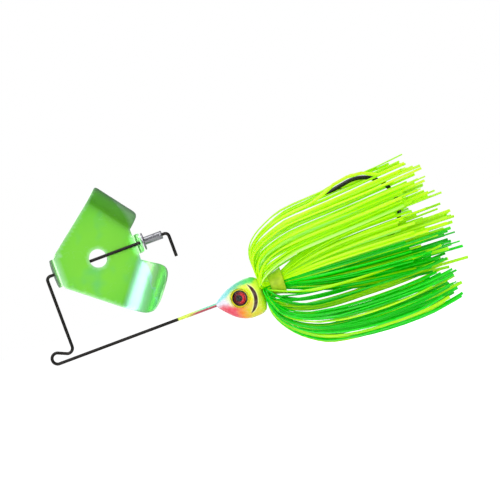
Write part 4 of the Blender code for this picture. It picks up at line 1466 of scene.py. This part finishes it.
    def _grid(self, work: bmesh.types.BMesh) -> None:
        """Cuts the flat pattern into a fine grid, finest at the tab bends."""
        reach = self.tab_radius * self.tab_bend
        offsets = [reach * step / 8 for step in range(9)]
        bends = [-offset for offset in offsets] + [self.length + offset for offset in offsets]
        steps = int(self.length / self.grid) + 8
        for along in bends + [self.grid * step for step in range(1, steps)]:
            chosen = [
                face for face in work.faces
                if along <= self.length + FINE or along % self.grid < FINE
                or abs(face.calc_center_median().y) < self.rear_tab
            ]
            self._cut(work, Vector((along, 0, 0)), Vector((1, 0, 0)), chosen)
        for step in range(-28, 29):
            self._cut(work, Vector((0, self.grid * step, 0)), Vector((0, 1, 0)), list(work.faces))
        for sign in (-1, 1):
            normal = Vector((math.cos(self.wing_angle), sign * math.sin(self.wing_angle), 0))
            chosen = [face for face in work.faces if face.calc_center_median().y * sign > 0]
            self._cut(work, normal * self.wing_flat, normal, chosen)
        bmesh.ops.triangulate(work, faces=work.faces)
        bmesh.ops.remove_doubles(work, verts=work.verts, dist=0.1 * MM)

    @staticmethod
    def _cut(
        work: bmesh.types.BMesh, place: Vector, normal: Vector, faces: Sequence[bmesh.types.BMFace]
    ) -> None:
        """Cuts faces along a line of the flat pattern."""
        parts = set(faces)
        for face in faces:
            parts.update(face.edges)
            parts.update(face.verts)
        bmesh.ops.bisect_plane(work, geom=list(parts), dist=FINE, plane_co=place, plane_no=normal)


@dataclass
class Rivet:
    """The flanged sleeve that runs on the shaft behind the blade."""

    layout: Layout
    bore: float = 0.51 * MM
    tube_radius: float = 1.18 * MM
    flange_radius: float = 2.5 * MM
    flange_thickness: float = 0.35 * MM
    steps: int = 64

    def build(self, material: bpy.types.Material) -> None:
        """Builds the sleeve with a rounded flange, a fillet and a rolled end."""
        length = self.layout.rivet_end_x - self.layout.rivet_x
        flange, thick, tube = self.flange_radius, self.flange_thickness, self.tube_radius
        profile = [
            (self.bore, length - 0.1 * MM), (self.bore + 0.06 * MM, length), (tube - 0.22 * MM, length),
            (tube - 0.08 * MM, length - 0.04 * MM), (tube, length - 0.16 * MM), (tube, length - 0.5 * MM),
            (tube - 0.05 * MM, length - 0.58 * MM), (tube - 0.02 * MM, length - 0.7 * MM),
            (tube - 0.02 * MM, thick + 0.3 * MM),
            (tube + 0.03 * MM, thick + 0.1 * MM), (tube + 0.14 * MM, thick), (flange - 0.12 * MM, thick),
            (flange - 0.03 * MM, thick - 0.04 * MM), (flange, thick / 2), (flange - 0.03 * MM, 0.04 * MM),
            (flange - 0.12 * MM, 0.0), (self.bore + 0.15 * MM, 0.0), (self.bore, 0.1 * MM),
        ]
        place = Matrix.Translation((self.layout.rivet_x, 0, self.layout.shaft_z))
        place @= Matrix.Rotation(math.pi / 2, 4, "Y")
        work = bmesh.new()
        turned_solid(work, profile, self.steps, place)
        keep_piece(work, "flanged_sleeve", Body.RIVET, material, ["bearing_rivet"], 50)


# ---------------------------------------------------------------- skirt


@dataclass
class Collar:
    """The flared rubber collar that holds the strands on the keeper."""

    layout: Layout
    front_radius: float = 2.91 * MM
    rear_radius: float = 3.91 * MM
    wall: float = 0.45 * MM
    tilt: float = math.radians(2.5)

    def build(self, material: bpy.types.Material) -> None:
        """Builds the collar with rounded lips."""
        length = self.layout.collar_end_x - self.layout.collar_x
        front, rear, wall = self.front_radius, self.rear_radius, self.wall
        round_off = 0.12 * MM
        outer = [
            (front + (rear - front) * share - 0.14 * MM * math.sin(math.pi * share), length * share)
            for share in (0.08, 0.25, 0.42, 0.58, 0.75, 0.9)
        ]
        profile = [(front - wall + round_off, 0), (front - round_off, 0), (front, round_off)] + outer
        profile += [(rear, length - round_off), (rear - round_off, length), (rear - wall + round_off, length)]
        profile += [(radius - wall, height) for radius, height in reversed(outer)]
        profile.append((front - wall, round_off))
        middle = Vector(((self.layout.collar_x + self.layout.collar_end_x) / 2, 0, self.layout.arm_z))
        place = Matrix.Translation(middle) @ Matrix.Rotation(self.tilt, 4, "Y") @ Matrix.Translation(-middle)
        place @= Matrix.Translation((self.layout.collar_x, 0, self.layout.arm_z))
        place @= Matrix.Rotation(math.pi / 2, 4, "Y")
        work = bmesh.new()
        turned_solid(work, profile, 56, place)
        keep_piece(work, "flared_collar", Body.FRAME, material, ["skirt_collar"], 60)


class StrandGroup(Enum):
    """The two colours of strand."""

    CHARTREUSE = "chartreuse"
    GREEN = "green"


@dataclass
class Skirt:
    """The silicone skirt: flat strands held at their middles, flared forward and then swept back."""

    layout: Layout
    hook: Hook
    pairs: int = 22
    inner_start: float = 1.56 * MM
    outer_start: float = 2.11 * MM
    flare_up: float = 20.5 * MM
    flare_down: float = 23.2 * MM
    fan: float = 10.8 * MM
    droop: float = 2.0 * MM
    front_reach: float = 50.5 * MM
    rear_reach: float = 51.5 * MM
    setback: float = 0.7 * MM
    depth_ratio: float = 0.85
    parting: float = 1.2 * MM
    points: int = 15
    seed: int = 11
    half_width: float = 0.46 * MM
    half_thickness: float = 0.20 * MM
    rings: int = 46
    opening_half_height: float = 1.3 * MM
    lifted: float = 1.4 * MM
    opening: tuple[float, float] = (82 * MM, 96 * MM)

    # How far along a strand the collar holds it
    HELD_AT = 0.68
    # Most rear strands are trimmed short, and a few are left long: the least share of the full length
    SHORTEST_TAIL = 0.68
    # How many fill-in strands each zone has, their shares of the flare's radius, and their least tone
    FILLERS = (
        (StrandGroup.CHARTREUSE, 26, (0.60, 1.0), 0.0),
        (StrandGroup.CHARTREUSE, 20, (0.42, 0.58), 0.0),
        (StrandGroup.GREEN, 20, (0.74, 1.0), 0.0),
        (StrandGroup.GREEN, 14, (0.46, 0.70), 0.0),
        (StrandGroup.GREEN, 8, (0.34, 0.46), 0.0),
        (StrandGroup.GREEN, 10, (0.92, 1.0), 0.6),
    )
    # The least and greatest share that a strand draws: of its flare's or fan's radius, or of its reach
    INNER_FLARES = (0.80, 1.0)
    OUTER_FLARES_UP = (0.52, 0.78)
    OUTER_FLARES_DOWN = (0.62, 0.79)
    INNER_FANS = (0.24, 0.62)
    OUTER_FANS = (0.70, 1.0)
    FRONT_REACHES = (0.80, 1.0)
    GROWTHS = (0.98, 1.02)

    # Each flare's outline: how far behind the head, then the share of the way out to the flare's radius
    FLARE_UP = (
        (0.0007, 0.10), (-0.0001, 0.24), (-0.0003, 0.46), (0.0018, 0.65), (0.0060, 0.80), (0.0136, 0.935),
    )
    FLARE_DOWN = (
        (0.0007, 0.10), (0.0, 0.22), (0.0008, 0.38), (0.0036, 0.60), (0.0086, 0.805), (0.0150, 0.933),
    )
    # Each flare's last stretch, and a rear strand: share of its reach, then of the way out
    SWEPT_UP = ((0.50, 0.97), (0.75, 1.02), (1.0, 1.07))
    SWEPT_DOWN = ((0.50, 1.01), (0.80, 1.03), (1.0, 0.97))
    REAR_FAN = ((0.12, 0.30), (0.33, 0.66), (0.60, 0.90), (1.0, 1.06))

    def spread(self, x: float, radius: float, turn: float, flared: bool) -> Vector:
        """Places a point of a strand.

        Args:
            x: Its place along the lure.
            radius: Its distance from the arm's line.
            turn: Its direction about the arm's line, from straight up.
            flared: Whether it is in the half that starts forwards.

        Returns:
            The point: the skirt parts up and down, and round the hook.
        """
        squeeze = 0.48 * smooth_step((radius - 4 * MM) / (8 * MM)) if flared else 0
        if math.cos(turn) >= 0:
            turn = math.remainder(turn, 2 * math.pi) * (1 - squeeze)
        else:
            turn = math.pi + math.remainder(turn - math.pi, 2 * math.pi) * (1 - squeeze)
        depth = 1 - (1 - self.depth_ratio) * smooth_step((radius - 3 * MM) / (6 * MM))
        side = depth * radius * math.sin(turn)
        behind = x - self.layout.collar_end_x
        side += math.copysign(self.parting, side) * smooth_step(behind / (14 * MM))
        droop = 0 if flared else self.droop * smooth_step(behind / self.rear_reach)
        return Vector((x, side, self.layout.arm_z - droop + radius * math.cos(turn)))

    def knots(
        self, inner: bool, turn: float, rng: random.Random, flares: tuple[float, float] | None = None
    ) -> tuple[list[Vector], list[Vector]]:
        """Draws a strand's sizes.

        Args:
            inner: Whether it lies in the inner layer.
            turn: Its direction about the arm's line.
            rng: The source of its random sizes.
            flares: The least and greatest share of the flare's radius, where they aren't its layer's own.

        Returns:
            (x, radius) knots of its front half and its rear half, each from the collar's middle to its tip.
        """
        start = self.inner_start if inner else self.outer_start
        upward = math.cos(turn) >= 0
        outer_flares = self.OUTER_FLARES_UP if upward else self.OUTER_FLARES_DOWN
        share = rng.uniform(*(flares or (self.INNER_FLARES if inner else outer_flares)))
        way_out = (self.flare_up if upward else self.flare_down) * share - start
        bow = self.layout.head_rear_x + (0 if inner else self.setback)
        reach = self.front_reach * rng.uniform(*self.FRONT_REACHES)
        grow = rng.uniform(*self.GROWTHS)
        collar, collar_end = self.layout.collar_x, self.layout.collar_end_x
        middle = (collar + collar_end) / 2
        flare, swept = (self.FLARE_UP, self.SWEPT_UP) if upward else (self.FLARE_DOWN, self.SWEPT_DOWN)
        front = [(middle, start), (collar + 0.2 * MM, start), (bow + 1.5 * MM, start + 0.8 * MM)]
        front += [(bow + behind, start + out * way_out) for behind, out in flare]
        front += [(collar + along * reach, start + grow * out * way_out) for along, out in swept]
        fan = self.fan * rng.uniform(*(self.INNER_FANS if inner else self.OUTER_FANS)) - start
        trimmed = self.SHORTEST_TAIL + (1 - self.SHORTEST_TAIL) * rng.uniform(0, 1) ** 2.5
        tail = self.rear_reach * trimmed
        rear = [(middle, start), (collar_end, start + 0.05 * fan)]
        rear += [(collar_end + along * tail, start + out * fan) for along, out in self.REAR_FAN]
        return [Vector(knot) for knot in front], [Vector(knot) for knot in rear]

    def path(
        self, inner: bool, turn: float, rng: random.Random, flares: tuple[float, float] | None = None
    ) -> list[Vector]:
        """A strand's centre line from its front tip, through the collar, to its rear tip."""
        front, rear = self.knots(inner, turn, rng, flares)
        halves = []
        for knots, flared, count in ((front, True, self.points), (rear, False, self.points // 2)):
            places = smooth_path(knots, count)
            halves.append([self.spread(place.x, place.y, turn, flared) for place in places])
        return halves[0][::-1] + halves[1][1:]

    def build(self, finishes: dict[StrandGroup, bpy.types.Material]) -> None:
        """Builds both groups of strands.

        Args:
            finishes: The finish of each group.
        """
        groups = {group: bmesh.new() for group in StrandGroup}
        nodes = {group: [] for group in StrandGroup}
        layers = {
            group: (work.verts.layers.float.new("strand_tone"), work.verts.layers.float.new("strand_along"))
            for group, work in groups.items()
        }
        shape, wave = random.Random(self.seed), random.Random(self.seed + 1)
        for index in range(2 * self.pairs):
            turn = 2 * math.pi * (index + 0.5) / (2 * self.pairs)
            group = StrandGroup.CHARTREUSE if math.cos(turn) >= 0 else StrandGroup.GREEN
            nodes[group].append(f"skirt_strand_{index + 1:02d}")
            self._strand(groups[group], layers[group], self.path(index % 2 == 0, turn, shape), wave)
        for group, count, flares, least_tone in self.FILLERS:
            middle = 0.0 if group is StrandGroup.CHARTREUSE else math.pi
            for index in range(count):
                turn = middle + math.pi * ((index + wave.uniform(0.2, 0.8)) / count - 0.5)
                path = self.path(index % 2 == 0, turn, wave, flares)
                self._strand(groups[group], layers[group], path, wave, least_tone)
        for group, work in groups.items():
            name, slot = f"strands_{group.value}", f"{group.value}_silicone"
            keep_piece(work, name, Body.FRAME, finishes[group], nodes[group], 75)

    def _strand(
        self, work: bmesh.types.BMesh, layers: tuple, path: list[Vector], rng: random.Random,
        least_tone: float = 0.0,
    ) -> None:
        """Adds one flat strand.

        Args:
            work: The group's mesh.
            layers: The attributes for its tone and for the place along it.
            path: Its centre line.
            rng: The source of its waves, its twist and its tone.
            least_tone: The least tone that it may have.
        """
        points = smooth_path(path, self.rings)
        middle = (self.layout.collar_x + self.layout.collar_end_x) / 2
        phase, speed = rng.uniform(0, 6.28), rng.uniform(2.0, 3.6)
        swing = rng.uniform(0.1, 0.45) * MM
        twist, lean = rng.uniform(-1.3, 1.3), rng.uniform(-1.1, 1.1)
        tone = least_tone + (1 - least_tone) * rng.random()
        sizes, wides, shares = [], [], []
        for index, point in enumerate(points):
            share = index / (self.rings - 1)
            free = smooth_step((abs(point.x - middle) - 2.2 * MM) / (7 * MM))
            far = smooth_step((point.x - self.layout.collar_end_x) / (38 * MM))
            radial = Vector((0, point.y, point.z - self.layout.arm_z)).normalized()
            across = Vector((1, 0, 0)).cross(radial)
            point += across * swing * far * math.sin(phase + speed * 2 * math.pi * share)
            point += radial * 0.6 * swing * far * math.sin(1.7 * phase + speed * 5 * share)
            angle = (lean + twist * far) * free
            wides.append(across * math.cos(angle) + radial * math.sin(angle))
            squeezed = 0.5 + 0.5 * free
            sizes.append((self.half_width * squeezed, self.half_thickness))
            held = self.HELD_AT
            shares.append((share - held) / (1 - held) if share > held else (held - share) / held)
        self._part_round_point(points)
        rings = sweep_section(work, points, sizes, wides, 8, 0.6)
        for ring, share in zip(rings, shares):
            for vertex in ring:
                vertex[layers[0]] = tone
                vertex[layers[1]] = share

    def _above_point(self, place: Vector) -> float:
        """How far this place is above the hook's point and the top of its bend."""
        radius, off = self.hook.bend_radius, place.x - self.hook.bend_x
        if off > 0:
            rise = math.sqrt(max(radius * radius - off * off, 0))
        else:
            rise = radius + self.hook.point_slope * off
        return place.z - self.hook.bend_z - rise

    def _part_round_point(self, points: list[Vector]) -> None:
        """Moves a near-side strand, all of it one way, off the hook's point, which shows between strands."""
        start, end = self.opening
        room, blend = self.opening_half_height, 6 * MM
        inside = []
        for point in points:
            window = smooth_step((point.x - start) / blend) * smooth_step((end + blend - point.x) / blend)
            above = self._above_point(point)
            if point.y < 0 < window and abs(above) < 3 * room:
                inside.append((point, above, window))
        side = math.copysign(1, sum((above + self.lifted) * window for _, above, window in inside))
        for point, above, window in inside:
            point.z += side * min(max(room - side * above, 0), 3 * room) * window


# ---------------------------------------------------------------- studio


@dataclass
class Studio:
    """A plain pale floor, a white surround, soft lights and the camera."""

    view_centre: Vector
    view_width: float = 0.140
    lens: float = 120.0
    sensor: float = 36.0
    roll: float = math.radians(20.5)
    floor_drop: float = 0.035

    # Each light's name, offset from the view's centre, width, height and power
    SOFTBOXES = (
        ("key", (-0.17, -0.60, 0.22), 0.45, 0.75, 2.7),
        ("top", (0.02, -0.18, 0.62), 0.60, 0.36, 1.7),
        ("side", (0.38, -0.52, 0.06), 0.42, 0.50, 0.36),
        ("back", (-0.20, 0.62, 0.30), 0.50, 0.40, 0.9),
    )

    def build(self, lowest: float) -> None:
        """Builds the studio round the object.

        Args:
            lowest: The object's lowest height.
        """
        self._camera()
        self._floor(lowest - self.floor_drop)
        self._surround()
        for name, offset, width, height, power in self.SOFTBOXES:
            self._softbox(name, Vector(offset), width, height, power)
        settings = bpy.context.scene.view_settings
        settings.view_transform = "Standard"
        settings.look = "None"

    def _camera(self) -> None:
        """Makes the camera, square on to the lure's near side and rolled so that the arm climbs."""
        data = bpy.data.cameras.new("camera")
        data.lens, data.sensor_width = self.lens, self.sensor
        data.clip_start, data.clip_end = 0.01, 20.0
        camera = bpy.data.objects.new("camera", data)
        bpy.context.scene.collection.objects.link(camera)
        distance = self.view_width * self.lens / self.sensor
        right = Vector((math.cos(self.roll), 0, -math.sin(self.roll)))
        up = Vector((math.sin(self.roll), 0, math.cos(self.roll)))
        back = right.cross(up)
        turn = Matrix((right, up, back)).transposed().to_4x4()
        camera.matrix_world = Matrix.Translation(self.view_centre + back * distance) @ turn
        bpy.context.scene.camera = camera

    def _floor(self, height: float) -> None:
        """Makes the floor."""
        work = bmesh.new()
        place = Matrix.Translation((self.view_centre.x, 0, height))
        bmesh.ops.create_circle(work, cap_ends=True, segments=96, radius=6.0, matrix=place)
        mesh = bpy.data.meshes.new("studio_floor")
        work.to_mesh(mesh)
        work.free()
        floor = bpy.data.objects.new("studio_floor", mesh)
        bpy.context.scene.collection.objects.link(floor)
        sketch, shader = new_finish(
            "pale_floor", Roughness=0.9, Specular_IOR_Level=0.1, Emission_Strength=0.55
        )
        seen = sketch.add("ShaderNodeLightPath")
        glow = sketch.blend(seen.outputs["Is Camera Ray"], (0, 0, 0), (1, 1, 1))
        sketch.feed(shader.inputs["Emission Color"], glow)
        paper = sketch.noise(sketch.placed(), 40.0, 3.0)
        sketch.feed(shader.inputs["Base Color"], sketch.blend(paper, (0.93, 0.93, 0.93), (0.96, 0.96, 0.96)))
        mesh.materials.append(material_of(sketch))
        floor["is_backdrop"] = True

    @staticmethod
    def _surround() -> None:
        """Lights the surround: white to look at, softer and darker at the horizon for reflections."""
        world = bpy.data.worlds.new("surround")
        bpy.context.scene.world = world
        world.use_nodes = True
        sketch = Sketch(world.node_tree)
        shader = world.node_tree.nodes["Background"]
        coordinates = sketch.add("ShaderNodeTexCoord")
        _, _, height = sketch.parts(coordinates.outputs["Generated"])
        soft = sketch.ramp(
            sketch.ease(height, -0.2, 1.0),
            [
                (0.0, (0.22, 0.23, 0.25)), (0.45, (0.14, 0.145, 0.16)),
                (0.8, (0.5, 0.5, 0.5)), (1.0, (0.9, 0.9, 0.9)),
            ],
        )
        seen = sketch.add("ShaderNodeLightPath")
        colour = sketch.blend(seen.outputs["Is Camera Ray"], soft, (1.0, 1.0, 1.0))
        sketch.feed(shader.inputs["Color"], colour)
        shader.inputs["Strength"].default_value = 1.0

    def _softbox(self, name: str, offset: Vector, width: float, height: float, power: float) -> None:
        """Adds a soft light.

        Args:
            name: The light's name.
            offset: Where it stands from the view's centre.
            width: Its width.
            height: Its height.
            power: Its power in watts.
        """
        data = bpy.data.lights.new(name, "AREA")
        data.shape, data.size, data.size_y, data.energy = "RECTANGLE", width, height, power
        light = bpy.data.objects.new(name, data)
        bpy.context.scene.collection.objects.link(light)
        light.location = self.view_centre + offset
        light.rotation_mode = "QUATERNION"
        light.rotation_quaternion = (-offset).to_track_quat("-Z", "Y")
        light.visible_camera = False


# ---------------------------------------------------------------- the lure


def box_lists() -> list[list[float]]:
    """The shown object's box as plain lists."""
    low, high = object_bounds()
    return [list(low), list(high)]


def main() -> None:
    """Builds the lure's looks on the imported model."""
    logging.basicConfig(level=logging.INFO, format="%(name)s: %(message)s")
    cad_box = box_lists()
    layout = Layout.read()
    effects = Effects.build()
    centre = Vector((BLADE_CENTRE_X, 0, layout.shaft_z))

    wire = WireForm(layout)
    wire.build(SpringWire().build(effects, layout.nose_x - wire.paint_length, layout.nose_x, layout.arm_z))
    head = Head(layout)
    paint = HeadPaint().build(effects, layout.nose_x, head.length, layout.arm_z, head.gill_points())
    head.build_casting(paint)
    head.build_eyes(paint, PrintedEye().build(effects), ClearResin().build(effects))
    nickel = PlatedMetal("black_nickel_plate", (0.035, 0.035, 0.038), (0.16, 0.16, 0.17), 0.10, 0.26)
    hook = Hook(layout)
    hook.build(nickel.build(effects))
    Blade(centre).build(CandyMetal().build(effects, centre))
    bright = PlatedMetal("bright_sleeve", (0.26, 0.26, 0.28), (0.03, 0.03, 0.03), 0.12, 0.30, (0.25, 1, 1))
    Rivet(layout).build(bright.build(effects))
    Collar(layout).build(CollarRubber().build(effects))
    chartreuse = SkirtSilicone(
        "chartreuse_strands", (0.36, 0.73, 0.0), (0.50, 0.94, 0.0), (0.50, 0.96, 0.18), 0.90
    )
    green = SkirtSilicone("green_strands", (0.0, 0.40, 0.0), (0.0, 0.68, 0.0), (0.44, 0.84, 0.0), 0.68)
    Skirt(layout, hook).build({
        StrandGroup.CHARTREUSE: chartreuse.build(effects), StrandGroup.GREEN: green.build(effects),
    })
    Studio(VIEW_CENTRE).build(cad_box[0][2])


if __name__ == "__main__":
    main()
